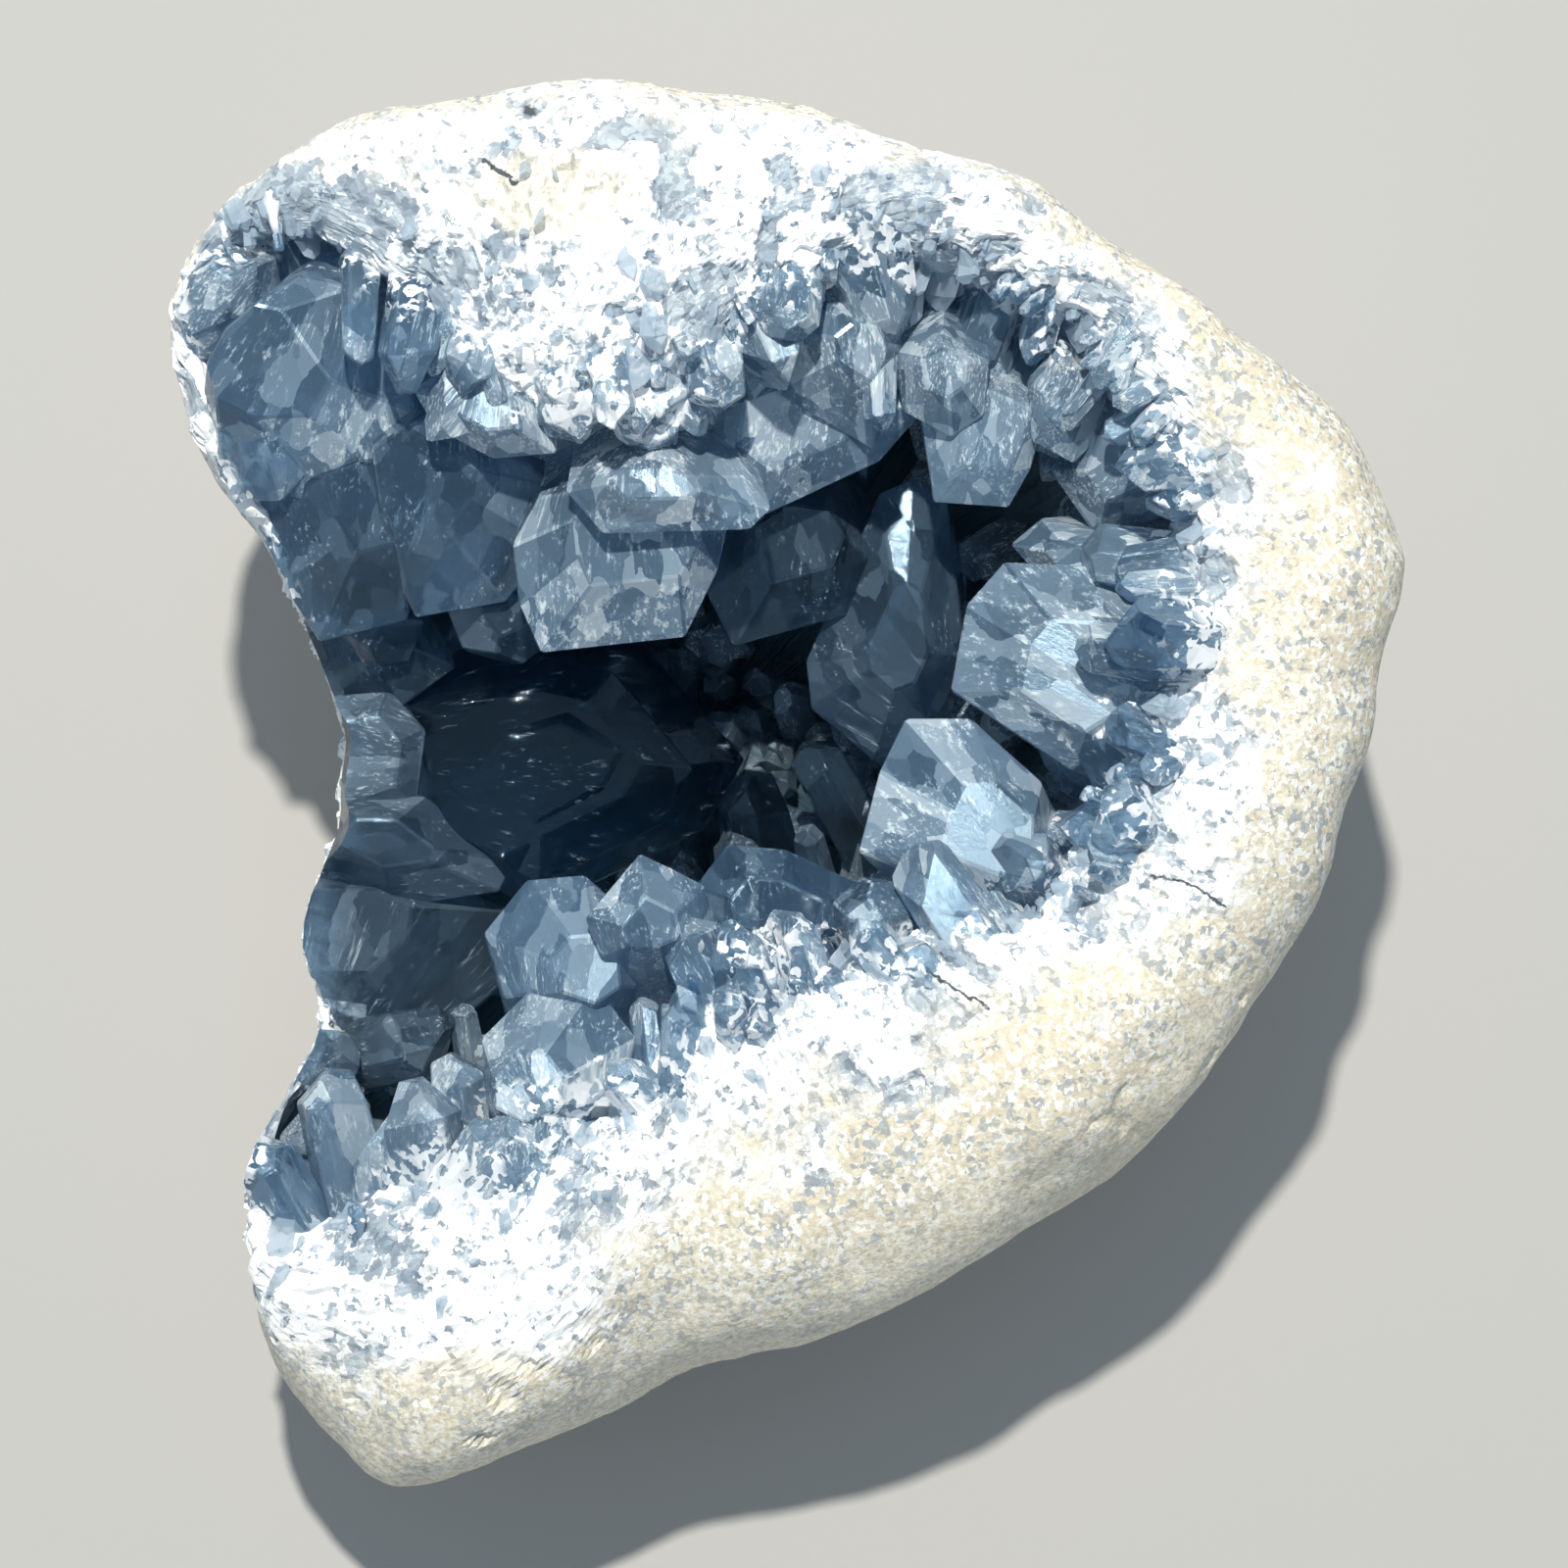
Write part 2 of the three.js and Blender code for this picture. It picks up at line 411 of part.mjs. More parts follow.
// A crystal that points: a prism of four sides closed by a pair of sloping end faces, with two broad
// sides more if it has a thickness and a second pair of end faces if that has a slope. It grows along its
// own x, its width is y and its broad sides face z.
function pointedCrystal({ root, tip, width, thick, turn, ends }) {
  const from = new THREE.Vector3(...root);
  const along = new THREE.Vector3(...tip).sub(from);
  const long = along.length();
  const plane = (x, y, z, away) => {
    const normal = new THREE.Vector3(x, y, z);
    const size = normal.length();
    return { normal: normal.divideScalar(size), away: away / size };
  };
  const planes = [plane(-1, 0, 0, ROOT_BELOW)];
  for (const way of [-1, 1]) {
    if (thick) planes.push(plane(LEAN_IN, 0, way, thick / 2 + LEAN_IN * long * 0.5));
    planes.push(plane(1, way * tan(radians(ends[0])), 0, long));
    if (ends[1]) planes.push(plane(1, 0, way * tan(radians(ends[1])), long + RIDGE_SHARE * width));
    for (const half of [-1, 1]) {
      planes.push(plane(LEAN_IN, way, half * tan(radians(SIDE_SLOPE)), width / 2 + LEAN_IN * long * 0.5));
    }
  }
  const geometry = block(planes);
  const x = along.normalize();
  const y = new THREE.Vector3(0, 0, 1).cross(x).normalize();
  const z = x.clone().cross(y);
  const frame = new THREE.Matrix4().makeBasis(x, y, z).setPosition(from);
  return geometry.applyMatrix4(frame.multiply(new THREE.Matrix4().makeRotationX(radians(turn))));
}
// Small crystals in rings down the hollow's wall, each leaning a little its own way.
function fillers() {
  const random = randomRun(SEED);
  const small = [];
  for (const { down, count, long } of FILLER_RINGS) {
    for (let i = 0; i < count; i += 1) {
      const angle = (TURN * (i + 0.8 * random())) / count;
      const part = min(0.95, down + 0.1 * (random() - 0.3));
      const root = hollowPoint(angle, part);
      const beside = hollowPoint(angle + 0.05, part).sub(root);
      const below = hollowPoint(angle, part + 0.04).sub(root);
      const inward = beside.cross(below).normalize();
      const lean = new THREE.Vector3(random() - 0.5, random() - 0.5, random() - 0.1);
      const reach = long * (0.7 + 0.6 * random());
      const tip = root.clone().addScaledVector(inward.addScaledVector(lean, 0.8).normalize(), reach);
      const width = FILLER_WIDTH * (0.7 + 0.6 * random());
      const ends = [30 + 24 * random()];
      const turn = 180 * random();
      small.push(pointedCrystal({ root: root.toArray(), tip: tip.toArray(), width, turn, ends }));
    }
  }
  return small;
}
// The layer that the crystals stand on: the hollow's wall and the same wall moved in.
function lining() {
  const middle = new THREE.Vector3(CENTRE.u + FLOOR_SHIFT.u, CENTRE.v + FLOOR_SHIFT.v, 0);
  return movedBall(LINING_STEPS, 2 * LINING_ROWS + 1, (angle, row) => {
    const behind = row <= LINING_ROWS;
    const part = behind ? 1 - row / LINING_ROWS : (row - LINING_ROWS - 1) / LINING_ROWS;
    const point = hollowPoint(angle, mix(LINING_TOP, 1, part));
    const inward = middle.clone().sub(point).normalize();
    return point.addScaledVector(inward, behind ? -CLEARANCE - 2 : LINING);
  });
}

// The room that crystals may fill: the nodule's inside, and straight up from its edge past the mouth.
function crystalRoom() {
  return movedBall(ROUND_STEPS, BACK_ROWS + 2, (angle, row) => {
    if (row < BACK_ROWS) return backPoint(angle, (row / BACK_ROWS) * SKIN_SHARE).multiplyScalar(SKIN_SHARE);
    const height = row === BACK_ROWS ? edgeHeight(angle) - 1 : ROOM_TOP;
    const out = row > BACK_ROWS + 1 ? 0 : noduleRadius(angle) + OVERHANG;
    return around(angle, out, height, FLOOR_SHIFT, 0);
  });
}

// Leans the mouth back and sets the nodule down on its flat spot.
const placed = new THREE.Matrix4().makeTranslation(-REST_AT.x, -REST_AT.y, REST_DROP)
  .multiply(new THREE.Matrix4().makeRotationX(LEAN));

const stone = nodule();
const underground = new THREE.BoxGeometry(300, 300, 100).translate(0, 0, -50);
const shell = solid(stone.clone().applyMatrix4(placed)).subtract(solid(bare(underground)));

let crust = solid(lining().applyMatrix4(placed));
const crystals = [
  ...TABLED_CRYSTALS.map(tabledCrystal), ...POINTED_CRYSTALS.map(pointedCrystal), ...fillers(),
];
for (const one of crystals) {
  crust = crust.add(solid(one.applyMatrix4(placed)));
}
crust = crust.intersect(solid(crystalRoom().applyMatrix4(placed)));
crust = crust.subtract(solid(swell(stone, () => CLEARANCE).applyMatrix4(placed)));

const geode = new THREE.Group();
geode.name = "celestite_geode";
function piece(name, geometry, finish) {
  const mesh = new THREE.Mesh(geometry, new THREE.MeshStandardMaterial(finish));
  mesh.name = name;
  geode.add(mesh);
}
piece("stone_shell", surface(shell), { color: 0xd9d2c2, roughness: 0.85, metalness: 0 });
piece("crystal_crust", largestSurface(surface(crust)), { color: 0x6f8fae, roughness: 0.12, metalness: 0 });

export default geode;
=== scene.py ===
import math
from functools import partial

import bmesh
import bpy
import numpy as np
from bpy.props import FloatProperty, FloatVectorProperty, IntProperty, PointerProperty
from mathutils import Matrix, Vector


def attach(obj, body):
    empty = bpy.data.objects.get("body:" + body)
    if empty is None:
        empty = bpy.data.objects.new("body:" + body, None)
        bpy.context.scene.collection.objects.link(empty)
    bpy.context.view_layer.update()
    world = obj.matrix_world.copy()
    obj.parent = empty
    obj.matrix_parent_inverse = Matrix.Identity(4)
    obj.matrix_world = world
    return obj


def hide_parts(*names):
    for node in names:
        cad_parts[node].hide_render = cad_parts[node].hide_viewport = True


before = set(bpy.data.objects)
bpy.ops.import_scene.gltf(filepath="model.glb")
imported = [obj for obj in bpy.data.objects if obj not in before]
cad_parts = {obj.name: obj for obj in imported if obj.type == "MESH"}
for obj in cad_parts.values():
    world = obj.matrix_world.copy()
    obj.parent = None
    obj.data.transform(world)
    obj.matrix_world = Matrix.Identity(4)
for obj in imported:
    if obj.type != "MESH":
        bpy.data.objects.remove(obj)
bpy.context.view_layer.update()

bl_info = {
    "name": "Celestite geode",
    "version": (1, 0, 0),
    "blender": (4, 5, 0),
    "location": "3D View > Sidebar > Geode",
    "description": "A stone nodule broken open, with the crust of clear blue crystals in its hollow",
    "category": "Add Mesh",
}

# The geode is laid out in the mouth's own frame, in millimetres: u to the right across the face, v up the
# face and w out of the hollow. placed() leans the mouth back and gives metres in the frame's own axes.
MM = 0.001
TURN = 2 * math.pi
LEAN = math.radians(20)
REST_DROP = 56.5  # from the middle of the face down to the flat spot
REST_AT = (3.5, 17.8)  # the middle of the flat spot, under the middle of the face
CENTRE = (-12, 3)  # the middle of the mouth
BACK_DEPTH = 70  # from the face to the back of the nodule
BACK_SHIFT = (14, 25)  # how far the back lies off the mouth's middle
FLOOR_DEPTH = 40  # from the face to the bottom of the hollow
FLOOR_SHIFT = (3, 3)
WALL = 16  # stone left beside the hollow where it widens under the rim
UNDERCUT = 0.45  # how much of the room under the rim the hollow takes
LIP_SHARE = 0.5  # height of the rim's inner edge, as a share of its crest

# Grid of the nodule: steps round the mouth, and rows over the back, the rim and the hollow
ROUND_STEPS = 620
BACK_ROWS = 44
RIM_ROWS = 74
HOLLOW_ROWS = 34

# Outer edge of the nodule and inner edge of its rim, seen into the mouth
NODULE_EDGE = [
    (-23, 75), (-10, 73.5), (2, 72), (13, 68.5), (28.5, 61.5), (41, 53), (53, 42), (59, 37), (63, 30),
    (65, 23.5), (62.5, 12.5), (62.5, 0), (53.5, -18), (39.5, -34.5), (26, -46), (12, -55), (-3, -61.5),
    (-14.5, -63.5), (-25.5, -69), (-41, -75), (-47.5, -72), (-55, -63.5), (-57.5, -48.5), (-59, -42.5),
    (-51.5, -28), (-54.5, -18), (-51.5, -6), (-51, -0.5), (-50, 6.5), (-53, 16), (-55, 24.5), (-61.5, 37),
    (-66.5, 50.5), (-61, 62), (-49.5, 69.5), (-37.5, 72),
]
RIM_EDGE = [
    (36.5, 4), (40.5, 20), (40.5, 33), (33, 43.5), (22, 51), (10.5, 53), (-1, 49), (-10.5, 42),
    (-21, 39.5), (-29, 42), (-38.5, 49), (-48, 56), (-57, 56), (-62.5, 49.5), (-59.5, 37), (-53.5, 25),
    (-51.2, 15.5), (-48.8, 6), (-49.6, -1), (-50.3, -7), (-52.8, -18), (-50.4, -28), (-56, -40),
    (-53, -48), (-46, -46), (-38, -42), (-29, -39.5), (-19, -35), (-11.5, -25), (-4, -21), (6, -20),
    (15.5, -15.5), (26, -12.5), (32, -4),
]
# Values at angles round the mouth, in degrees. How full the back is: 2 is an ellipse, more is squarer.
BACK_FULLNESS = [(0, 2.3), (50, 2.5), (95, 2.7), (140, 2.3), (185, 2.1), (225, 1.6), (255, 1.55),
                 (290, 1.8), (330, 2.1)]
# Height of the widest part of the nodule, and of the rim's crest above it
EDGE_HEIGHT = [(0, 0), (60, 1), (110, 0), (135, -4), (152, -9), (168, -30), (185, -34), (205, -31),
               (219, -20), (232, -6), (280, 0), (320, 1)]
CREST_HEIGHT = [(0, 13), (60, 11), (100, 12), (130, 6), (152, 4), (185, 3), (210, 3), (230, 9), (250, 15),
                (290, 16), (330, 14)]
# How far over the rim the crushed crystal begins, and the grid row from which the skin is speckled
CRUSHED_FROM = [(0, 0.5), (20, 0.5), (40, 0.4), (70, 0.18), (95, 0.1), (115, 0.15), (140, 0.1),
                (165, 0.05), (215, 0.1), (240, 0.34), (270, 0.5), (300, 0.58), (330, 0.56)]
SPECKLED_FROM = [(0, 0.9), (60, 0.8), (120, 0.8), (180, 0.9), (230, 1.2), (270, 1.25), (300, 1.3),
                 (330, 1.25)]

# Lumps on the stone: height, the wave's direction and number (radians per mm), and its start
LUMPS = [
    (0.66, 0.09, 0.05, 0.04, 0.3), (0.54, -0.06, 0.1, 0.07, 1.9), (0.42, 0.16, -0.11, 0.12, 4.0),
    (0.3, 0.05, 0.22, -0.17, 2.2), (0.24, -0.29, 0.13, 0.21, 5.1),
]
# Dents and broken spots: where, how wide and how deep
DENTS = [
    ((-30.5, 64.2, 8), 1.2, 0.8), ((-29, 63.2, 8), 1.2, 0.8), ((17, -49.5, 5), 1.5, 1.4),
    ((14, 53, 10), 6, 2.6), ((10, 61, 8), 4.5, 1.6), ((-7, -61, 2), 7, 2.2), ((60, -2, 4), 7, 1.8),
    ((24, -40, 9), 5, 1.4), ((20, 30, -52), 12, 2.6), ((-50, 62, -6), 7, 1.6), ((-30, -60, -22), 10, 2.2),
]
# Layers of smooth noise: height or share, size in millimetres, and salt
RAGGED = ((0.13, 11, 11), (0.12, 4, 12), (0.1, 1.6, 13))
GRAIN = ((0.5, 7, 1), (0.25, 2.6, 2), (0.12, 1.3, 5))
STAINED = ((1, 17, 82), (0.4, 5, 83))
FROST_RAGGED = ((0.25, 4, 91), (0.2, 1.8, 92))

# Spots on the face, each with its middle, half its width and height, and how much.
# Clear spots in the crushed rim:
WINDOWS = [
    ((11.4, 60.3), (5.0, 4.2), 1.0), ((14.6, 52.0), (7.5, 3.2), 1.0), ((4.2, 44.5), (6.5, 6.0), 1.0),
    ((-7.0, 49.0), (4.5, 3.5), 0.8), ((29.0, 44.0), (4.0, 5.0), 0.8), ((36.0, 50.0), (3.0, 5.0), 0.7),
    ((22.4, -24.0), (3.6, 2.6), 0.9), ((-2.5, -21.0), (3.0, 4.2), 0.9), ((-55.0, 60.5), (7.0, 5.0), 1.0),
    ((-43.0, 60.0), (5.0, 4.0), 0.8), ((-35.5, 53.0), (4.0, 3.0), 0.8), ((33.0, -14.0), (3.5, 2.5), 0.8),
    ((42.0, 22.0), (3.0, 5.0), 0.5), ((46.0, 8.0), (2.0, 3.0), 0.4), ((9.0, -33.0), (5.0, 2.6), 0.8),
    ((-26.7, 70.7), (2.2, 1.3), 0.9), ((15.0, -36.0), (6.0, 5.0), 0.6), ((-20.0, -43.0), (4.0, 3.5), 0.7),
    ((-43.0, -48.0), (4.5, 3.0), 0.7), ((38.0, -8.0), (2.4, 2.0), 0.4), ((-30.0, 50.0), (3.5, 3.0), 0.6),
    ((-57.0, -36.0), (3.0, 7.0), 0.9),
]
# Rubbed spots that stay stone-coloured:
STAINS = [((-24.5, 61), (9, 4.5), 1), ((60, 14), (3, 12), 1), ((-30, -60), (9, 3), 1),
          ((2, -44), (9, 2.5), 1)]
# How cloudy the crystals are:
CLOUDY = [
    ((-60, 51), (6, 8), 0.95), ((-51, 43), (10, 9), 0.75), ((-50, 25), (10, 9), 0.24),
    ((-34, 28), (8, 9), 0.38), ((-31, 41), (8, 6), 1.05), ((-14, 31), (10, 4), 1.25),
    ((-16, 23), (10, 7), 0.42), ((3, 42), (12, 8), 0.95), ((20, 37), (6, 6), 1.6), ((31, 38), (7, 8), 1.1),
    ((30, 24), (7, 5), 1.1), ((26, 14), (8, 8), 1.1), ((18, -3), (9, 9), 1.05), ((11, 28), (5, 5), 1.1),
    ((11, 15), (7, 10), 0.38), ((0, 24), (8, 8), 0.22), ((-25, 2), (20, 14), 0.0), ((-12, 42), (8, 6), 1.8),
    ((-44, 3), (5, 6), 0.55), ((-44, -8), (9, 6), 0.45), ((-44, -20), (10, 9), 0.25),
    ((-24, -17), (7, 7), 0.6), ((-14, -13), (6, 5), 0.8), ((-24, -30), (8, 7), 0.95),
    ((0, -12), (9, 5), 0.3), ((-40, -38), (9, 7), 1.15), ((-54, -36), (5, 9), 0.6), ((8, -16), (7, 5), 0.8),
    ((28, -8), (6, 6), 0.8),
]
# Where the crushed rim reaches on over the crystals, as a share of the rim's width:
FROSTED = [((-42, -40), (13, 7), 0.5), ((-22, -33), (9, 4), 0.35), ((2, -18), (8, 4), 0.3),
           ((-16, 38), (14, 4), 0.25)]

# Scratches, cracks and dark bits in the face of the stone: from where to where, and half the width
MARKS = [
    ((-31.1, 64.6), (-27.5, 61.9), 0.14), ((-53.8, 59.5), (-53.2, 59.2), 0.5),
    ((-26.7, 70.2), (-26.2, 70), 0.35), ((37.8, -9.3), (41.5, -10.2), 0.1),
    ((41.5, -10.2), (45.4, -12.6), 0.08), ((14.6, -19.2), (20.8, -22.9), 0.1),
    ((17, -48.8), (17.6, -49.6), 0.3), ((-10.2, -61), (-7, -60.4), 0.15),
]

# The large crystals: the outline that the body shows to the mouth, the height of the flat table face and
# its rise along u and v, the table's share of the outline and its shift, the depth of the bevels round it,
# and where the root lies from there.
TABLED_CRYSTALS = [
    ([(-63, 55.5), (-60, 57), (-56.5, 54.5), (-57, 49.5), (-60, 46.5), (-64, 45), (-66, 49)],
     2, (0.3, 0.1), 0.72, (0, 0), 3, (5, 4, -8)),
    ([(-60, 41.5), (-56.5, 47.5), (-51, 52), (-46, 51), (-37.5, 38.5), (-41.5, 32), (-51.5, 31.5),
      (-58.5, 35)],
     6, (-0.05, 0.2), 0.66, (-2.5, 1.5), 5, (3, 10, -18)),
    ([(-60, 36), (-56, 38.5), (-51, 37), (-51, 33), (-53.5, 30.5), (-58, 30.5)],
     3, (0.2, 0.1), 0.6, (0, 1), 3, (2, 8, -14)),
    ([(-56.5, 30), (-49, 32.5), (-40.5, 31), (-39, 25), (-41.5, 18.5), (-50, 16.5), (-54, 23)],
     1, (0.1, 0.3), 0.68, (2, 2.5), 6, (2, 12, -16)),
    ([(-43, 34), (-36.5, 38.5), (-25, 31), (-26, 26), (-30.5, 20.5), (-39, 19), (-42, 25)],
     2.5, (-0.1, 0.35), 0.7, (-2, 2), 5, (0, 12, -16)),
    ([(-38, 41), (-31.5, 46.5), (-25.5, 39.5), (-24.5, 35), (-30.5, 34.5), (-36, 37.5)],
     9, (0.1, -0.2), 0.6, (0, 0), 4, (1, 6, -12)),
    ([(-27.5, 25), (-25, 29.5), (-16.5, 31), (-7, 29), (-8.5, 22.5), (-11.5, 16.5), (-25, 15),
      (-27, 19.5)],
     4, (-0.05, 0.15), 0.8, (1.5, 1.8), 4, (0, 13, -15)),
    ([(-21.5, 30.5), (-17.5, 33.5), (-10.5, 34), (-5, 32), (-2.5, 29), (-4.5, 27), (-18, 26.5)],
     9, (-0.12, -0.13), 0.55, (-1, 0.5), 3.5, (-1, 9, -10)),
    ([(-7.5, 33.5), (-6.5, 40), (0, 42.5), (13.5, 39.5), (9, 34.5), (-2, 29.5)],
     2, (0, 0.35), 0.8, (0, 0.8), 2.5, (2, 10, -13)),
    ([(-2, 47.5), (3, 51.5), (10, 50.5), (12.5, 46), (9, 36.5), (0, 41.5)],
     8, (-0.25, 0.1), 0.45, (1.5, 0), 5, (0, 7, -12)),
    ([(15, 40), (20.5, 42), (27, 39), (25.5, 33.5), (23.5, 30), (16.5, 30.5)],
     4, (0.05, 0.1), 0.76, (0.5, 0.8), 3, (2, 12, -14)),
    ([(12, 45), (16.5, 47), (21, 44), (20.5, 39), (17.5, 37), (13, 39.5)],
     7, (0.2, 0.1), 0.6, (0, 0.5), 3, (1, 9, -12)),
    ([(26, 42), (29, 45.5), (33.5, 43), (33.5, 37.5), (30.5, 34.5), (26.5, 36.5)],
     6, (-0.2, 0.2), 0.55, (-0.5, 0), 3, (3, 8, -11)),
    ([(-7.5, 26.5), (-2, 30), (5, 29), (8, 24.5), (6, 19), (-5, 16), (-7.5, 21)],
     -7, (0.05, 0.2), 0.7, (1, 1.5), 4, (2, 14, -18)),
    ([(29.5, 33.5), (32.5, 40.5), (38.5, 41.5), (42, 36), (40.5, 29.5), (34, 27)],
     3, (0.3, 0.2), 0.6, (-0.5, -0.5), 4, (5, 3, -12)),
    ([(25, 25.5), (28, 28), (33.5, 26.5), (36.5, 22.5), (33.5, 20.5), (29, 21)],
     0, (0.25, 0), 0.6, (0, 0), 3, (8, 2, -9)),
    ([(19, 10.5), (20.5, 18.5), (24, 22.5), (33, 22), (39, 17), (38, 8), (30, 3)],
     5, (0.14, -0.05), 0.7, (1, -1.2), 3.5, (8, -5, -16)),
    ([(31, 4), (34, 9.5), (40.5, 9), (41, 1), (35, -4)],
     6, (-0.1, 0.15), 0.6, (1, 0), 3, (7, -3, -14)),
    ([(9, -6.5), (11, 1), (13.5, 6), (19.5, 6), (26, 0), (25.5, -7.5), (20.5, -11)],
     6, (0.15, -0.25), 0.66, (2, -1.5), 4, (7, -9, -15)),
    ([(10.5, 30), (14, 31.5), (17, 29.5), (19, 14.5), (15.5, 6.5), (10, 4.5), (4, 9.5), (3.5, 14)],
     -9, (0, 0.22), 0.5, (0.5, -1), 5, (4, -5, -19)),
    ([(-43, 9.5), (-35, 14), (-26, 16.5), (-17.5, 15), (-7, 3), (-11, -4), (-27.5, -12), (-38, -6.5)],
     -18, (-0.06, -0.05), 0.7, (-2.5, -1.5), 6, (-2, 0, -16)),
    ([(-52.5, 8.5), (-44, 9.5), (-40.5, 5.5), (-41.5, -2), (-46, -3.5), (-52.5, -3)],
     -15, (0.05, 0.1), 0.8, (0, 0), 2, (2, 0, -16)),
    ([(-53.5, -7), (-49, -2), (-40, -2), (-31.5, -8.5), (-33, -11.5), (-43, -13)],
     -14, (-0.15, 0.2), 0.55, (-1, 0.5), 4, (-3, 0, -16)),
    ([(-55, 15.5), (-50, 19), (-40, 17.5), (-37.5, 13), (-43, 9), (-53, 10)],
     -12, (0, 0.3), 0.6, (0, 1), 4, (-1, 6, -17)),
    ([(-57.5, -18), (-52, -11.5), (-40, -11.5), (-32, -15), (-33, -22), (-41, -29), (-54, -29)],
     -17, (-0.2, 0.15), 0.62, (-2, 2), 6, (-1, -2, -14)),
    ([(-31, -16), (-27, -11), (-21.5, -10.5), (-17, -14.5), (-16.5, -21), (-21.5, -24.5), (-29, -22)],
     4, (0.1, -0.15), 0.6, (1.5, -1.2), 5, (0, -10, -14)),
    ([(-20, -14), (-15, -8), (-9, -11), (-8, -16), (-12.5, -18), (-18.5, -17.5)],
     7, (-0.15, -0.1), 0.6, (0, -0.5), 3, (1, -9, -12)),
    ([(-31, -27), (-26.5, -22.5), (-20.5, -22), (-16.5, -27), (-18.5, -33), (-24.5, -36), (-30.5, -33)],
     8, (0.15, -0.2), 0.6, (-1.5, -1.5), 5, (1, -8, -14)),
    ([(-8.5, -11), (-5.5, -7), (0, -7.5), (7.5, -11), (6.5, -15.5), (0, -16.5), (-7.5, -16)],
     2, (0.06, -0.14), 0.7, (0, -0.5), 3, (1, -8, -12)),
    ([(-40, 8), (-34, 11.5), (-27, 13), (-20, 11.5), (-12, 2), (-15, -3.5), (-27, -9.5), (-36, -5)],
     -17.2, (-0.06, 0.02), 0.85, (0, 0), 2, (-1, 0, -8)),
    ([(-36, 0), (-31, 6), (-24, 8), (-17, 4), (-19, -1), (-28, -6)],
     -16.9, (-0.06, 0.06), 0.9, (0, 0), 1, (-1, 0, -6)),
]
TABLE_INSET = 0.86  # the table ring, as a share of the table's own share
SHIFT_MORE = 1.8  # how many times its shift the table ring moves
BODY_SHARE = 1.14  # the body is this much larger than the outline, so that neighbours meet
ROOT_SHARE = 0.95
# The pointed crystals: root, tip, width across the face, thickness into it, turn about the growth line,
# and the slopes of the two pairs of end faces, in degrees.
POINTED_CRYSTALS = [
    ((-45, 58, -3), (-44, 43.5, 11), 5, 5, 30, (55, 50)),
    ((-38, 56, -2), (-39.5, 41, 12), 7, 6, 10, (58, 40)),
    ((10, 48, 2), (10, 37, 8), 4, 4, 10, (40, 30)),
    ((36, 16, -20), (20, 13, -8), 11, 10, 30, (40, 36)),
    ((10, -8, -34), (3, 4, -20), 8, 6, 40, (40, 40)),
    ((-2, -10, -36), (-4, 0, -24), 9, 7, -25, (42, 36)),
    ((-43, 28, -24), (-45, 14, -10), 12, 9, 24, (34, 40)),
    ((-30, 30, -26), (-31, 15, -8), 13, 10, -14, (30, 44)),
    ((-50, -31, -26), (-38, -28, -14), 10, 9, 34, (40, 30)),
    ((-54, -32, -22), (-49, -30, -11), 9, 8, 10, (30, 44)),
    ((-38, -46, -4), (-38, -32, 6), 9, 8, 22, (44, 30)),
    ((-46, -47, -10), (-49, -31, -2), 9, 9, -20, (40, 34)),
    ((-50, -54, -8), (-57, -38, -2), 9, 9, 15, (36, 40)),
    ((-33, -42, -8), (-35, -29, 0), 8, 7, 35, (44, 36)),
    ((10, -21, -4), (9, -11, 6), 9, 7, -20, (34, 38)),
    ((29, -12, -2), (24, -7, 9), 8, 7, 10, (40, 30)),
    ((-55, -5, -34), (-51, -9, -18), 10, 8, 30, (36, 40)),
    ((-53, 3, -34), (-52, 3, -22), 9, 8, -10, (30, 40)),
    ((-31, 53, 0), (-33, 40.5, 10), 7, 5, -30, (50, 40)),
    ((-24, 50, 2), (-22, 38.5, 11), 8, 6, 20, (45, 40)),
    ((-17, 46, 4), (-15, 35.5, 10), 7, 5, -20, (50, 38)),
    ((-9, 50, 3), (-6.5, 39, 12), 8, 6, 30, (42, 46)),
]
ROOT_BELOW = 4  # crystals reach this far down behind their root
SIDE_SLOPE = 38  # their narrow sides meet at this angle off square, in degrees
RIDGE_SHARE = 0.09  # the second pair of end faces starts this share of the width later
LEAN_IN = 0.05  # how fast the sides close towards the tip
ENOUGH_FACES = 150000  # past this many, long edges are left whole

# The stage
FRAME_HALF = 83.2 * MM  # half of what the frame shows at the middle of the face
LAMP_WAY = (-0.05, 0.6, 1)  # to the lamp: across the face, up it and out of it
LAMP_COLOUR = (1, 0.95, 0.86)  # linear red, green and blue
SKY_COLOUR = (0.7, 0.86, 1, 1)


def linear(value):
    """The linear red, green and blue of an sRGB hex value."""
    parts = [int(value[i:i + 2], 16) / 255 for i in (1, 3, 5)]
    return tuple(c / 12.92 if c <= 0.04045 else ((c + 0.055) / 1.055) ** 2.4 for c in parts)


# ---------------------------------------------------------------- shape of the nodule


def round_curve(at, value):
    """A value that runs smoothly through knots all the way round: a cubic between each two knots, whose
    slope at a knot is the slope from the knot before it to the knot after it."""
    at = np.asarray(at, float) % TURN
    order = np.argsort(at)
    at, value = at[order], np.asarray(value, float)[order]
    at = np.concatenate([at[-2:] - TURN, at, at[:2] + TURN])
    value = np.concatenate([value[-2:], value, value[:2]])
    slope = (value[2:] - value[:-2]) / (at[2:] - at[:-2])
    at, value = at[1:-1], value[1:-1]

    def curve(angle):
        angle = np.asarray(angle, float) % TURN
        i = np.searchsorted(at, angle, side="right") - 1
        span = at[i + 1] - at[i]
        t = (angle - at[i]) / span
        bend = span * (slope[i] * t * (1 - t) ** 2 - slope[i + 1] * t * t * (1 - t))
        return value[i] + (value[i + 1] - value[i]) * t * t * (3 - 2 * t) + bend

    return curve


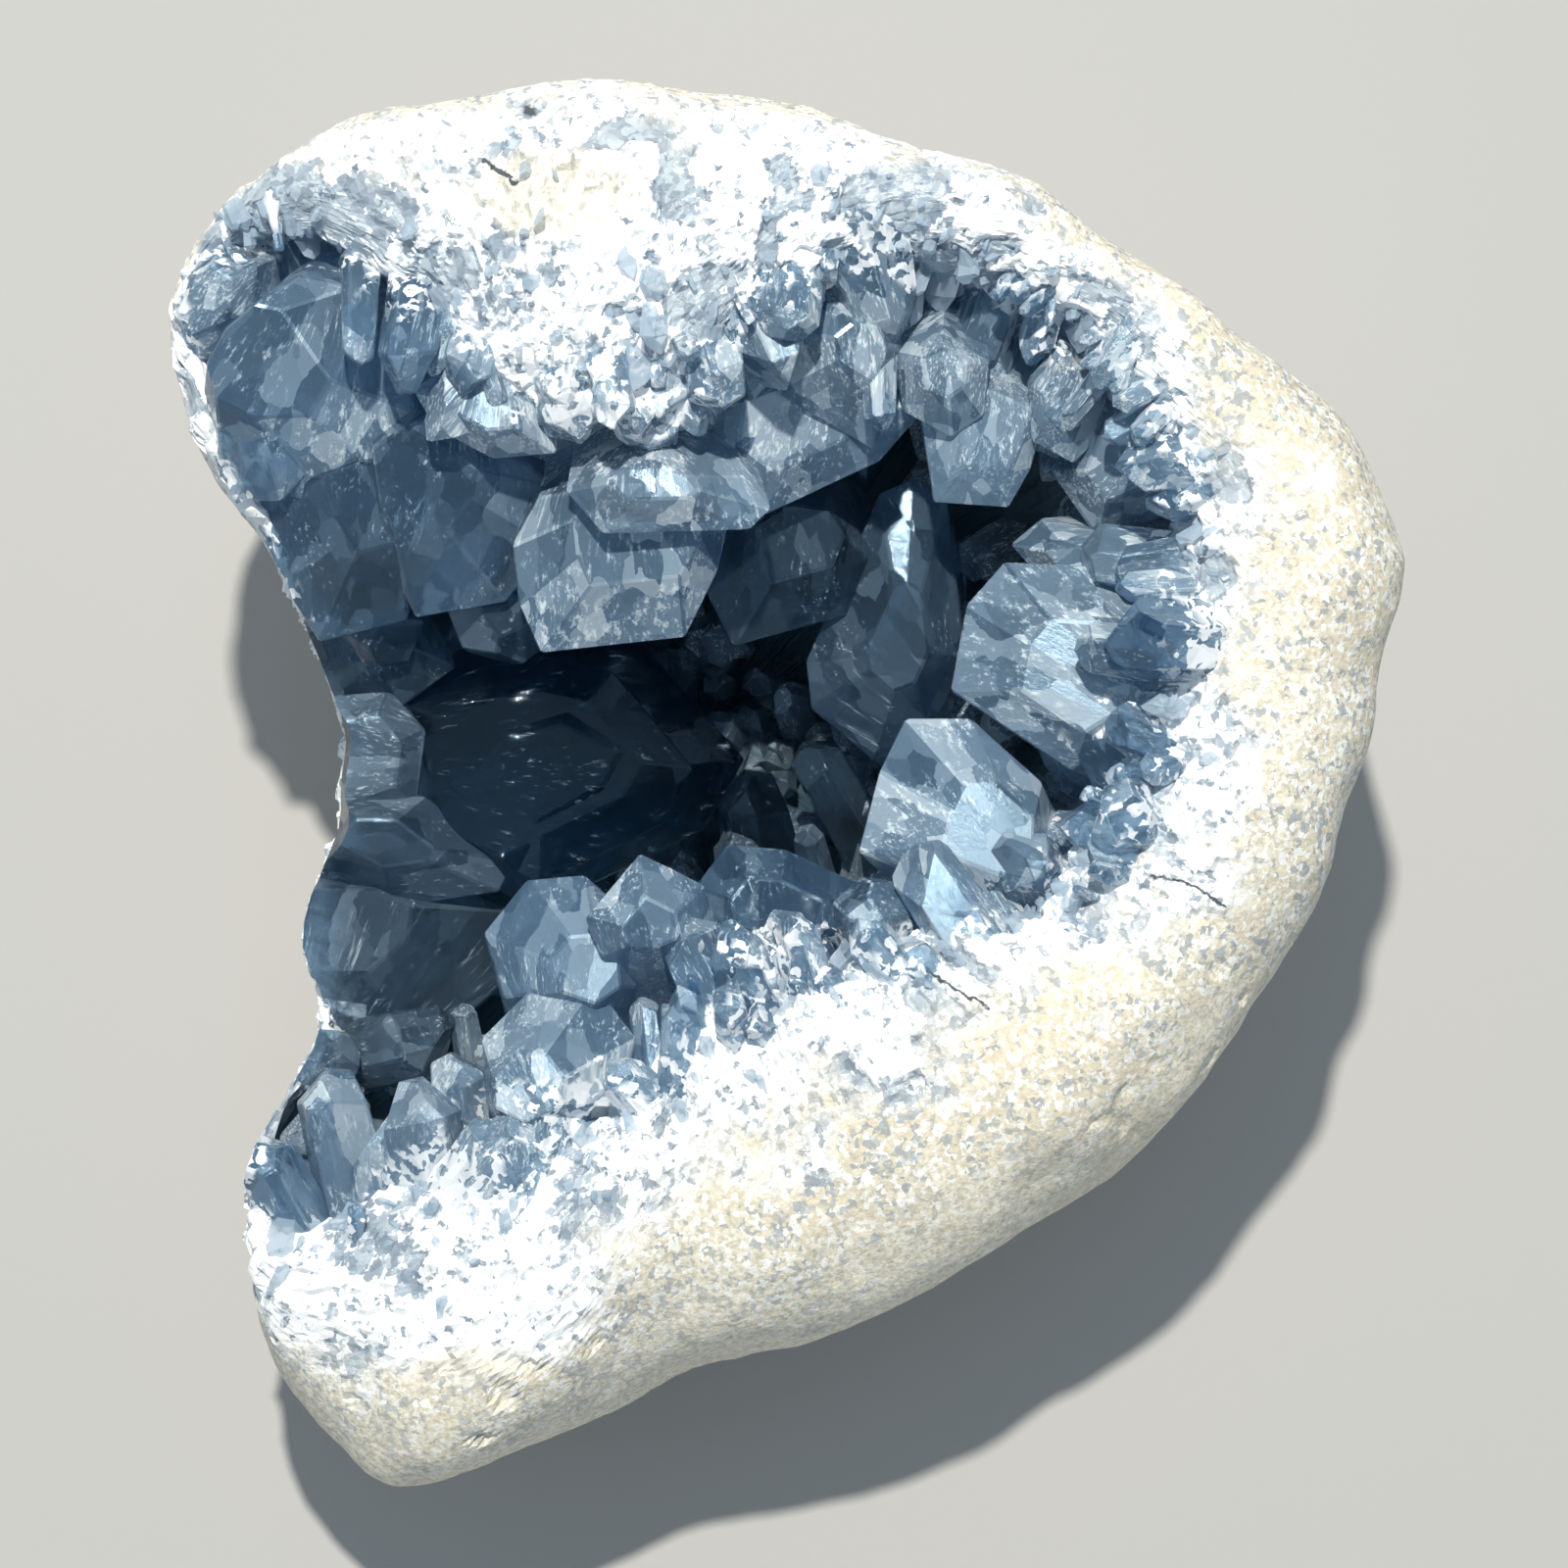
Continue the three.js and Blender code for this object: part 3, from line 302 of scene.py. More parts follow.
def edge_curve(points):
    """The distance of an outline from the mouth's middle, at angles round it."""
    across, up = (np.array(points) - CENTRE).T
    return round_curve(np.arctan2(up, across), np.hypot(across, up))


def height_curve(pairs):
    """A value through knots that are given in degrees."""
    degrees, value = np.array(pairs).T
    return round_curve(np.radians(degrees), value)


nodule_radius, rim_radius = edge_curve(NODULE_EDGE), edge_curve(RIM_EDGE)
back_fullness = height_curve(BACK_FULLNESS)
edge_height, crest_height = height_curve(EDGE_HEIGHT), height_curve(CREST_HEIGHT)
crushed_from, speckled_from = height_curve(CRUSHED_FROM), height_curve(SPECKLED_FROM)


def mix(a, b, share):
    return a + (b - a) * share


def smooth(low, high, value):
    """0 below low, 1 above high and a smooth step between."""
    t = np.clip((value - low) / (high - low), 0, 1)
    return t * t * (3 - 2 * t)


def unit(ways):
    """Rows of directions, each made one long."""
    return ways / np.linalg.norm(ways, axis=1, keepdims=True)


def around(angle, distance, height, shift=(0, 0), share=0):
    """Points at angles round the mouth, at a distance from its middle and a height above the face."""
    u = CENTRE[0] + shift[0] * share + distance * np.cos(angle)
    v = CENTRE[1] + shift[1] * share + distance * np.sin(angle)
    return np.stack(np.broadcast_arrays(u, v, height), -1)


def back_point(angle, part):
    """The outside, from the back (part 0) to the widest line (part 1): a superellipse, out = sin^(2/n) and
    deep = cos^(2/n) of a quarter turn, whose middle moves over with the square of the depth."""
    power = 2 / back_fullness(angle)
    out = np.sin(part * TURN / 4) ** power
    deep = np.maximum(np.cos(part * TURN / 4), 0) ** power
    height = mix(edge_height(angle), -BACK_DEPTH, deep)
    return around(angle, out * nodule_radius(angle), height, BACK_SHIFT, deep ** 2)


def rim_point(angle, part):
    """The rim, from the widest line (part 0) over its crest to its inner edge (part 1): a half ellipse
    whose inner half comes down only part of the way."""
    swing = part * TURN / 2
    crest = crest_height(angle)
    distance = mix(nodule_radius(angle), rim_radius(angle), (1 - np.cos(swing)) / 2)
    foot = np.where(part < 0.5, 0, LIP_SHARE * crest)
    return around(angle, distance, edge_height(angle) + mix(foot, crest, np.sin(swing)))


def hollow_point(angle, part):
    """The hollow's wall, from the rim's inner edge (part 0) to the bottom (part 1): it widens under the rim
    by the sine of a half turn, then closes as an ellipse."""
    swing = part * TURN / 4
    lip = rim_radius(angle)
    room = np.maximum(0, nodule_radius(angle) - WALL - lip)
    distance = (lip + room * UNDERCUT * np.sin(part * TURN / 2)) * np.maximum(np.cos(swing), 0) ** 0.8
    top = edge_height(angle) + LIP_SHARE * crest_height(angle)
    return around(angle, distance, mix(top, -FLOOR_DEPTH, np.sin(swing)), FLOOR_SHIFT, np.sin(swing))


def stone_point(angle, row):
    """The whole nodule: row 0 to 1 is the outside, 1 to 2 the rim and 2 to 3 the hollow."""
    row = np.broadcast_to(row, np.broadcast(angle, row).shape)[..., None]
    part = np.clip([row[..., 0], row[..., 0] - 1, row[..., 0] - 2], 0, 1)
    return np.where(row <= 1, back_point(angle, part[0]),
                    np.where(row <= 2, rim_point(angle, part[1]), hollow_point(angle, part[2])))


def normal_at(angle, row, turned, onward):
    """Roots on the nodule, the step from each to a row further on, and the normals between that step and
    one to an angle beside it."""
    root = stone_point(angle, row)
    step = stone_point(angle, row + onward) - root
    return root, step, unit(np.cross(stone_point(angle + turned, row) - root, step))


def placed(points):
    """Mouth frame in millimetres to the frame's own axes in metres: leaned back, then set on the flat."""
    u, v, w = np.moveaxis(np.asarray(points, float), -1, 0)
    y = v * math.cos(LEAN) - w * math.sin(LEAN)
    z = v * math.sin(LEAN) + w * math.cos(LEAN)
    return np.stack([u - REST_AT[0], y - REST_AT[1], z + REST_DROP], -1) * MM


def scatter(cells, salt):
    """A number from 0 to 1 for each whole-number cell, the same each time for the same salt."""
    mixed = (cells.astype(np.int64) * (73856093, 19349663, 83492791)).sum(-1) + salt * 374761393
    mixed = (mixed & 0xFFFFFFFF).astype(np.uint64)
    for down, times in ((15, 2246822519), (13, 3266489917)):
        mixed = ((mixed ^ (mixed >> np.uint64(down))) * np.uint64(times)) & np.uint64(0xFFFFFFFF)
    return (mixed ^ (mixed >> np.uint64(16))).astype(float) / 2 ** 32


def cloud(points, size, salt):
    """Smooth noise from -1 to 1: each cell's eight corners have a scattered number, eased between them."""
    at = points / size
    cell = np.floor(at)
    t = at - cell
    t = t * t * (3 - 2 * t)
    total = 0
    for corner in np.ndindex(2, 2, 2):
        total = total + np.prod(np.where(corner, t, 1 - t), -1) * scatter(cell + corner, salt)
    return total * 2 - 1


def clouds(points, layers):
    """Layers of smooth noise added up."""
    return sum(share * cloud(points, size, salt) for share, size, salt in layers)


def broken(points, size, salt):
    """Broken facets: every point takes the tilted plane of the nearest of a scatter of seeds, one in each
    cell. The plane's height at each point."""
    cell = np.floor(points / size)
    nearest = np.full(points.shape[:-1], np.inf)
    height = np.zeros_like(nearest)
    for step in np.ndindex(3, 3, 3):
        home = cell + step - 1
        number = np.stack([scatter(home, salt + k) for k in range(7)], -1)
        offset = points - (home + number[..., :3]) * size
        away = np.sqrt((offset ** 2).sum(-1))
        plane = (offset * (2 * number[..., 3:6] - 1)).sum(-1) + size * (number[..., 6] - 0.5)
        height = np.where(away < nearest, plane, height)
        nearest = np.minimum(nearest, away)
    return height


def off_spot(points, middle, half):
    """How far points are from a spot's middle on the face, in halves of its width and height, squared."""
    return ((points[..., 0] - middle[0]) / half[0]) ** 2 + ((points[..., 1] - middle[1]) / half[1]) ** 2


def cloudiness(points):
    """How cloudy a crystal at a spot on the face is: the mean of the spots near it, each weighted by a bell
    of its own width, and a little of a usual value where none is near."""
    weight, total = 0.02, 0.02 * 0.3
    for middle, half, much in CLOUDY:
        bell = np.exp(-2 * off_spot(points, middle, half))
        weight = weight + bell
        total = total + bell * much
    return total / weight


def relief(points):
    """The nodule's own lumps, sums of sine waves, less its dents, each a bell of its width and depth."""
    height = 0
    for tall, u, v, w, start in LUMPS:
        height = height + tall * np.sin(points @ (u, v, w) + start)
    for at, across, depth in DENTS:
        height = height - depth * np.exp(-((points - at) ** 2).sum(-1) / across ** 2)
    return height


def grid_normals(points):
    """Unit normals of a grid that closes along its columns: the cross product of its two directions."""
    along = np.roll(points, -1, 1) - np.roll(points, 1, 1)
    normal = np.cross(along, np.gradient(points, axis=0))
    return normal / np.maximum(np.linalg.norm(normal, axis=-1, keepdims=True), 1e-9)


def capped_grid(points):
    """A grid that closes along its columns, as points with a pole at each end, and faces: quads between
    the rows and a fan of triangles to each pole."""
    rows, columns = points.shape[:2]
    poles = np.stack([points[0].mean(0), points[-1].mean(0)])
    r, c = np.meshgrid(np.arange(rows - 1), np.arange(columns), indexing="ij")
    on = (c + 1) % columns
    quads = np.stack([r * columns + c, r * columns + on, (r + 1) * columns + on, (r + 1) * columns + c], -1)
    c, on = c[0], on[0]
    last, pole = (rows - 1) * columns, np.full(columns, rows * columns)
    fans = np.concatenate([np.stack([pole, on, c], -1), np.stack([last + c, last + on, pole + 1], -1)])
    return np.concatenate([points.reshape(-1, 3), poles]), quads.reshape(-1, 4).tolist() + fans.tolist()


# ---------------------------------------------------------------- meshes


def shown(name, mesh):
    """A new object of a mesh, in the scene."""
    made = bpy.data.objects.new(name, mesh)
    bpy.context.scene.collection.objects.link(made)
    return made


def carried(name, mesh, slot, *replaces):
    """A piece of a mesh, riding on the root body."""
    piece = shown(name, mesh)
    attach(piece, "root")
    if replaces:
        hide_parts(*replaces)
    return piece


def new_mesh(name, points, faces):
    mesh = bpy.data.meshes.new(name)
    mesh.from_pydata(points.reshape(-1, 3).tolist(), [], faces)
    mesh.validate()
    mesh.update()
    return mesh


def point_value(piece, name, values):
    """A number, or a spot as a row of three, for every point of a piece."""
    kind, field = ("FLOAT_VECTOR", "vector") if np.ndim(values) == 2 else ("FLOAT", "value")
    layer = piece.data.attributes.new(name, kind, "POINT")
    layer.data.foreach_set(field, np.asarray(values, np.float32).ravel())


def stone_piece(settings):
    """The nodule on a fine grid: lumps and dents, the rubbed grain of the outside, and broken facets that
    run in from the edge where the celestine shows round the mouth and in the hollow."""
    steps = [np.linspace(0, 1, BACK_ROWS, endpoint=False)[1:],
             1 + np.linspace(0, 1, RIM_ROWS, endpoint=False), 2 + np.linspace(0, 1, HOLLOW_ROWS + 1)[:-1]]
    row = np.concatenate(steps)[:, None]
    angle = (np.arange(ROUND_STEPS) * TURN / ROUND_STEPS)[None, :]
    points = stone_point(angle, row)
    normal = grid_normals(points)
    points = points + normal * relief(points)[..., None]
    ragged = clouds(points, RAGGED)
    crushed = smooth(-0.1, 0.14, row - 1 - crushed_from(angle) + ragged)
    out = np.hypot(*np.moveaxis(points[..., :2] - CENTRE, -1, 0))
    # Blades stand across the rim: their cells are longer along the way out than round the mouth
    spread = np.stack([np.broadcast_to(angle * 48, out.shape) / 0.6, out, points[..., 2] / 0.8], -1)
    blades, chips = broken(spread, 3.4, 20), broken(points, 2.1, 40)
    windows = 0.9 * cloud(spread, 5, 61) + 0.5 * cloud(points, 2.2, 62)
    clear = smooth(0.28, 0.5, windows)
    for middle, half, much in WINDOWS:
        spot = smooth(1.35, 0.75, off_spot(points, middle, half) + 0.9 * windows)
        clear = np.maximum(clear, much * spot)
    clear = clear * crushed * np.where(points[..., 2] > -20, 1, 0)
    pits = smooth(0.5, 0.8, cloud(points, 3.2, 3)) * smooth(-0.2, 0.5, cloud(points, 22, 4))
    pits = pits * smooth(0.9, 1, row)
    facets = 0.1 * blades + 0.28 * chips * (1 - 0.7 * clear) - 0.6 * clear
    height = mix(0.55 * clouds(points, GRAIN) - 0.8 * pits, facets, crushed)
    points = points + normal * height[..., None] * settings.relief
    corners, faces = capped_grid(points)
    world = placed(corners)
    world[:, 2] = np.maximum(world[:, 2], 0)
    piece = carried("stone_nodule", new_mesh("stone_nodule", world, faces), "stone", "stone_shell")
    band = cloud(np.stack([spread[..., 0] / 14, out / 1.6, points[..., 2] / 1.6], -1), 1, 81)
    stain = smooth(0.1, 0.7, clouds(points, STAINED)) * (1 - 0.9 * crushed)
    for middle, half, much in STAINS:
        spot = smooth(1.3, 0.6, off_spot(points, middle, half) + 2.5 * ragged)
        stain = np.maximum(stain, much * spot * np.where(points[..., 2] > -5, 1, 0))
    # Each value over the grid, and at the poles of the back and of the hollow
    for name, values, ends in (
        ("crushed", crushed, (0, 1)),
        ("hollow", smooth(1.9, 2.2, row + 0.3 * ragged), (0, 1)),
        ("clear", clear, (0, 0)),
        ("band", smooth(-0.3, 0.7, band), (0, 0)),
        ("stain", np.clip(stain, 0, 1), (0, 0)),
        # How far down the hollow a point is: on the wall it darkens the colour, as painted shade deep in the
        # hollow
        ("deep", smooth(4, -30, points[..., 2]), (1, 1)),
        ("speckled", smooth(-0.2, 0.2, row - speckled_from(angle) + 0.5 * ragged), (0, 1)),
    ):
        point_value(piece, name, np.append(np.broadcast_to(values, out.shape).ravel(), ends))
    return piece


# ---------------------------------------------------------------- crystals


def tabled_crystal(outline, height, rise, table, shift, bevel, root):
    """Corners of a crystal that shows a broad face, and the spot its streaks spread from: its outline
    carried from a shrunken table ring, down over the bevels to the body ring, and back to the root ring.
    The streaks spread over the broad face from the side that the root is on."""
    outline = np.array(outline, float)
    middle = outline.mean(0)
    rings = []
    for share, move, down in ((table * TABLE_INSET, np.array(shift) * SHIFT_MORE, 0),
                              (BODY_SHARE, (0, 0), bevel), (ROOT_SHARE, root[:2], bevel - root[2])):
        flat = middle + (outline - middle) * share + move
        rings.append(np.column_stack([flat, height + ((outline - middle) * share) @ rise - down]))
    back = np.array(root[:2]) / max(np.hypot(*root[:2]), 1)
    apex = (*(middle + 1.3 * back * np.ptp(outline, axis=0).max()), height - 4)
    return np.concatenate(rings), apex


def corners_behind(planes):
    """Corners of the block that lies behind every plane, each a row of a unit normal and its distance:
    every three planes meet in a point, and those behind all the others are kept."""
    normals, away = planes[:, :3], planes[:, 3]
    i, j, k = np.array([(a, b, c) for a in range(len(planes)) for b in range(a) for c in range(b)]).T
    matrix = np.stack([normals[i], normals[j], normals[k]], 1)
    solvable = np.abs(np.linalg.det(matrix)) > 1e-6
    sides = np.stack([away[i], away[j], away[k]], 1)[solvable]
    corners = np.linalg.solve(matrix[solvable], sides[..., None])[..., 0]
    return corners[(corners @ normals.T <= away + 1e-5).all(1)]


def pointed_crystal(root, tip, width, thick, turn, ends):
    """Corners of a crystal that points, and the spot its streaks spread from: four slanted sides and two
    broad ones, closed by two pairs of sloping end faces. It grows along x, its width is y and its broad
    sides face z."""
    root = np.array(root, float)
    along = np.array(tip, float) - root
    long = np.linalg.norm(along)
    planes = [(-1, 0, 0, ROOT_BELOW)]
    for way in (-1, 1):
        planes.append((LEAN_IN, 0, way, thick / 2 + LEAN_IN * long / 2))
        planes.append((1, way * math.tan(math.radians(ends[0])), 0, long))
        planes.append((1, 0, way * math.tan(math.radians(ends[1])), long + RIDGE_SHARE * width))
        for half in (-1, 1):
            planes.append((LEAN_IN, way, half * math.tan(math.radians(SIDE_SLOPE)),
                           width / 2 + LEAN_IN * long / 2))
    planes = np.array(planes, float)
    planes /= np.linalg.norm(planes[:, :3], axis=1, keepdims=True)
    local = corners_behind(planes)
    x = along / long
    y = np.cross((0, 0, 1), x)
    y /= np.linalg.norm(y)
    z = np.cross(x, y)
    c, s = math.cos(math.radians(turn)), math.sin(math.radians(turn))
    corners = root + local[:, :1] * x + local[:, 1:2] * (y * c + z * s) + local[:, 2:] * (z * c - y * s)
    return corners, root - x * long * 0.8


def pointed_crystals(random, root, lean, long, width, thickness, slopes, sunk=0):
    """A pointed crystal at each root, as long as long says along its lean. Its thickness as a share of the
    width, its turn and the slopes of its end faces are drawn at random."""
    count = len(root)
    thick = width * random.uniform(*thickness, count)
    turn = random.uniform(0, 180, count)
    ends = random.uniform(*slopes, (count, 2))
    tip = root + unit(lean) * long[:, None]
    return [pointed_crystal(*one) for one in zip(root - sunk, tip, width, thick, turn, ends)]


def wall_crystals(random, count):
    """Small pointed crystals all over the hollow's wall, each on the wall's own normal and leaning a
    little its own way."""
    angle = random.uniform(0, TURN, count)
    part = random.uniform(0, 1, count) ** 0.8 * 0.95
    root = hollow_point(angle, part)
    inward = unit(np.cross(hollow_point(angle + 0.05, part) - root, hollow_point(angle, part + 0.04) - root))
    lean = inward + 0.7 * random.uniform(-0.6, 0.6, (count, 3))
    long = random.uniform(4, 10.5, count) * mix(0.8, 1.35, part)
    width = random.uniform(3.5, 7.5, count)
    return pointed_crystals(random, root, lean, long, width, (0.6, 0.95), (28, 56))


def edge_crystals(random, count):
    """Middling crystals along the rim's inner edge, which lean in over the hollow. None grow on the side
    where the nodule is broken open."""
    angle = np.radians(random.uniform(-125, 140, count))
    row = 1 + random.uniform(0.72, 1.35, count)
    root, _, out = normal_at(angle, row, 0.02, 0.03)
    inward = np.stack([-np.cos(angle), -np.sin(angle), np.zeros(count)], -1)
    lean = out * 0.5 + inward * random.uniform(0.3, 1.1, (count, 1)) + 0.6 * random.uniform(-1, 1, (count, 3))
    room = np.clip((nodule_radius(angle) - rim_radius(angle)) / 20, 0.4, 1)
    size = random.lognormal(0, 0.4, count) * (room * mix(0.7, 1.2, smooth(1.7, 2.2, row)))
    long = np.minimum(random.uniform(3.5, 8.5, count) * size, 11)
    width = np.minimum(random.uniform(3.5, 8, count) * size, 11)
    return pointed_crystals(random, root, lean, long, width, (0.45, 0.9), (30, 60),
                            out * width[:, None] * 0.4)


def crystal_solid(corners, chamfer, tones, apex):
    """The convex block of some corners, with a narrow chamfer along each of its edges. Its faces carry the
    crystal's cloudiness, whether they are a chamfer, which the material paints milky as a highlight along
    the edge, and the spot that its streaks spread from."""
    solid = bmesh.new()
    for corner in corners:
        solid.verts.new(corner)
    hull = bmesh.ops.convex_hull(solid, input=solid.verts)
    spare = {g for g in hull["geom_interior"] + hull["geom_unused"] if isinstance(g, bmesh.types.BMVert)}
    bmesh.ops.delete(solid, geom=list(spare), context="VERTS")
    bmesh.ops.dissolve_limit(solid, angle_limit=math.radians(2), verts=solid.verts, edges=solid.edges)
    highlit = bmesh.ops.bevel(solid, geom=solid.edges, offset=chamfer, segments=1, affect="EDGES",
                           clamp_overlap=True)
    highlit = {face for face in highlit["faces"] if face.is_valid}
    bmesh.ops.remove_doubles(solid, verts=solid.verts, dist=1e-4)
    bmesh.ops.recalc_face_normals(solid, faces=solid.faces)
    highlit = {face for face in highlit if face.is_valid}
    numbers, spots = solid.faces.layers.float, solid.faces.layers.float_vector
    for name in ("tone", "edge"):
        numbers.new(name)
    from_spot = spots.new("apex")
    tone, edge = numbers["tone"], numbers["edge"]
    for number, face in enumerate(solid.faces):
        face[from_spot] = Vector(placed(apex))
        face[tone] = tones[number % len(tones)]
        face[edge] = float(face in highlit)
    return solid


def split_long_edges(mesh, longest):
    """Cuts every edge that is longer than a length in two, over and over, so that fine values and fine
    relief can follow the faces."""
    cut = bmesh.new()
    cut.from_mesh(mesh)
    for _ in range(6):
        bmesh.ops.triangulate(cut, faces=cut.faces)
        long = [edge for edge in cut.edges if edge.calc_length() > longest]
        if not long or len(cut.faces) > ENOUGH_FACES:
            break
        bmesh.ops.subdivide_edges(cut, edges=long, cuts=1)
    bmesh.ops.dissolve_degenerate(cut, edges=cut.edges, dist=1e-4)
    bmesh.ops.triangulate(cut, faces=cut.faces)
    cut.to_mesh(mesh)
    cut.free()
    mesh.validate()


def joined(solids):
    """One solid of many that overlap. They are first sorted into groups in which no two touch, so that
    each group is a clean solid, and the groups are then joined one after another."""
    groups = []
    for solid in solids:
        corners = np.array([v.co for v in solid.verts])
        low, high = corners.min(0) - 0.05, corners.max(0) + 0.05
        for group in groups:
            if all((low > far).any() or (high < near).any() for near, far, _ in group):
                group.append((low, high, solid))
                break
        else:
            groups.append([(low, high, solid)])
    parts = []
    for group in groups:
        gathered = bmesh.new()
        for _, _, solid in group:
            one = bpy.data.meshes.new("one")
            solid.to_mesh(one)
            gathered.from_mesh(one)
            bpy.data.meshes.remove(one)
            solid.free()
        whole = bpy.data.meshes.new("group")
        gathered.to_mesh(whole)
        gathered.free()
        parts.append(shown("group", whole))
    for part in parts[1:]:
        combine(parts[0], "UNION", part)
    return parts


def combine(base, operation, other):
    """A Boolean of two clean solids, which stays live on the first."""
    boolean = base.modifiers.new(operation.lower(), "BOOLEAN")
    boolean.operation, boolean.solver, boolean.object = operation, "MANIFOLD", other


def crystal_room():
    """The room that crystals may fill, as a grid: the nodule's inside, and above its edge a lid that rises
    from the rim over the hollow. Where the nodule is broken through, the crystals reach the edge itself."""
    angle = (np.arange(120) * TURN / 120)[None, :]
    part = np.linspace(0.05, 0.97, 20)[:, None]
    inside = back_point(angle, part) * 0.95
    edge, crest = edge_height(angle), np.maximum(crest_height(angle), 7)
    out, rim = nodule_radius(angle), rim_radius(angle)
    out = out + relief(around(angle, out, edge))
    through = smooth(6, 3.6, out - rim)
    lid = [around(angle, out - 1.4, edge - 1.5),
           around(angle, out - mix(1.6, 0.7, through), edge + crest * 0.5 + 1),
           around(angle, mix(mix(out, rim, 0.5), out - 2, through), edge + crest + 2 + 8 * through),
           around(angle, rim * 0.6, 18)]
    points, faces = capped_grid(np.concatenate([inside, *lid]))
    mesh = bpy.data.meshes.new("room")
    mesh.from_pydata(points.tolist(), [], faces)
    return shown("room", mesh)


def crystal_piece(settings):
    """The crust: every crystal a convex block, all joined in one solid and cut to the room in the hollow.
    Its mesh is made fine, and where the crushed rim reaches over it, each point moves along its normal by
    the height of broken facets times the frost there. Gives the piece, and the planes and the streaks'
    spot of each cloudy large crystal."""
    random = np.random.default_rng(settings.seed)
    grown = [tabled_crystal(*one) for one in TABLED_CRYSTALS]
    grown += [pointed_crystal(*one) for one in POINTED_CRYSTALS]
    large = len(grown)
    grown += edge_crystals(random, settings.edge)
    grown += wall_crystals(random, settings.small)
    # Crystals are clear deep in the hollow, apart from the small ones and those along the broken side
    middle = np.array([corners.mean(0) for corners, _ in grown])
    near = np.maximum(smooth(-34, -8, middle[:, 2]), smooth(-38, -46, middle[:, 0]))
    near[large:] = 1
    small = 0.3 + random.uniform(-0.2, 0.2, len(grown))
    small[:large] = 0
    tones = (cloudiness(middle) + small) * near
    each = np.minimum(tones[:, None] * random.uniform(0.55, 1.45, (len(grown), 11)), 1.1)
    solids = [crystal_solid(corners, settings.chamfer * (1 if i < large else 0.5), each[i], apex)
              for i, (corners, apex) in enumerate(grown)]
    inner = [(np.array([(*face.normal, face.normal.dot(face.verts[0].co)) for face in solid.faces]), apex)
             for solid, (_, apex), tone in zip(solids[:large], grown, tones) if tone > 0.3]
    parts, room = joined(solids), crystal_room()
    combine(parts[0], "INTERSECT", room)
    crust = parts[0].evaluated_get(bpy.context.evaluated_depsgraph_get())
    mesh = bpy.data.meshes.new_from_object(crust)
    for spent in (*parts, room):
        bpy.data.objects.remove(spent)
    split_long_edges(mesh, settings.finest)
    points, normals = np.empty((2, len(mesh.vertices) * 3))
    mesh.vertices.foreach_get("co", points)
    mesh.vertices.foreach_get("normal", normals)
    points, normals = points.reshape(-1, 3), normals.reshape(-1, 3)
    flat = points[:, :2] - CENTRE
    angle = np.arctan2(flat[:, 1], flat[:, 0])
    rim = rim_radius(angle)
    # How far out over the rim each point is, as a share of the rim's width
    out = (np.hypot(*flat.T) - rim) / np.maximum(nodule_radius(angle) - rim, 4)
    for spot, half, more in FROSTED:
        out = out + more * np.exp(-off_spot(points, spot, half))
    frost = smooth(-0.35, 0.65, out + 1.2 * clouds(points, FROST_RAGGED))
    frost = 1.1 * frost * smooth(-12, 2, points[:, 2])
    points = points + normals * (0.3 * broken(points, 1.9, 95) * frost)[:, None]
    mesh.vertices.foreach_set("co", placed(points).ravel())
    mesh.name = "crystals"
    mesh.materials.clear()
    piece = carried("large_crystals", mesh, "celestine", "crystal_crust")
    point_value(piece, "frost", frost)
    point_value(piece, "deep", smooth(2, -30, points[:, 2]))
    return piece, inner


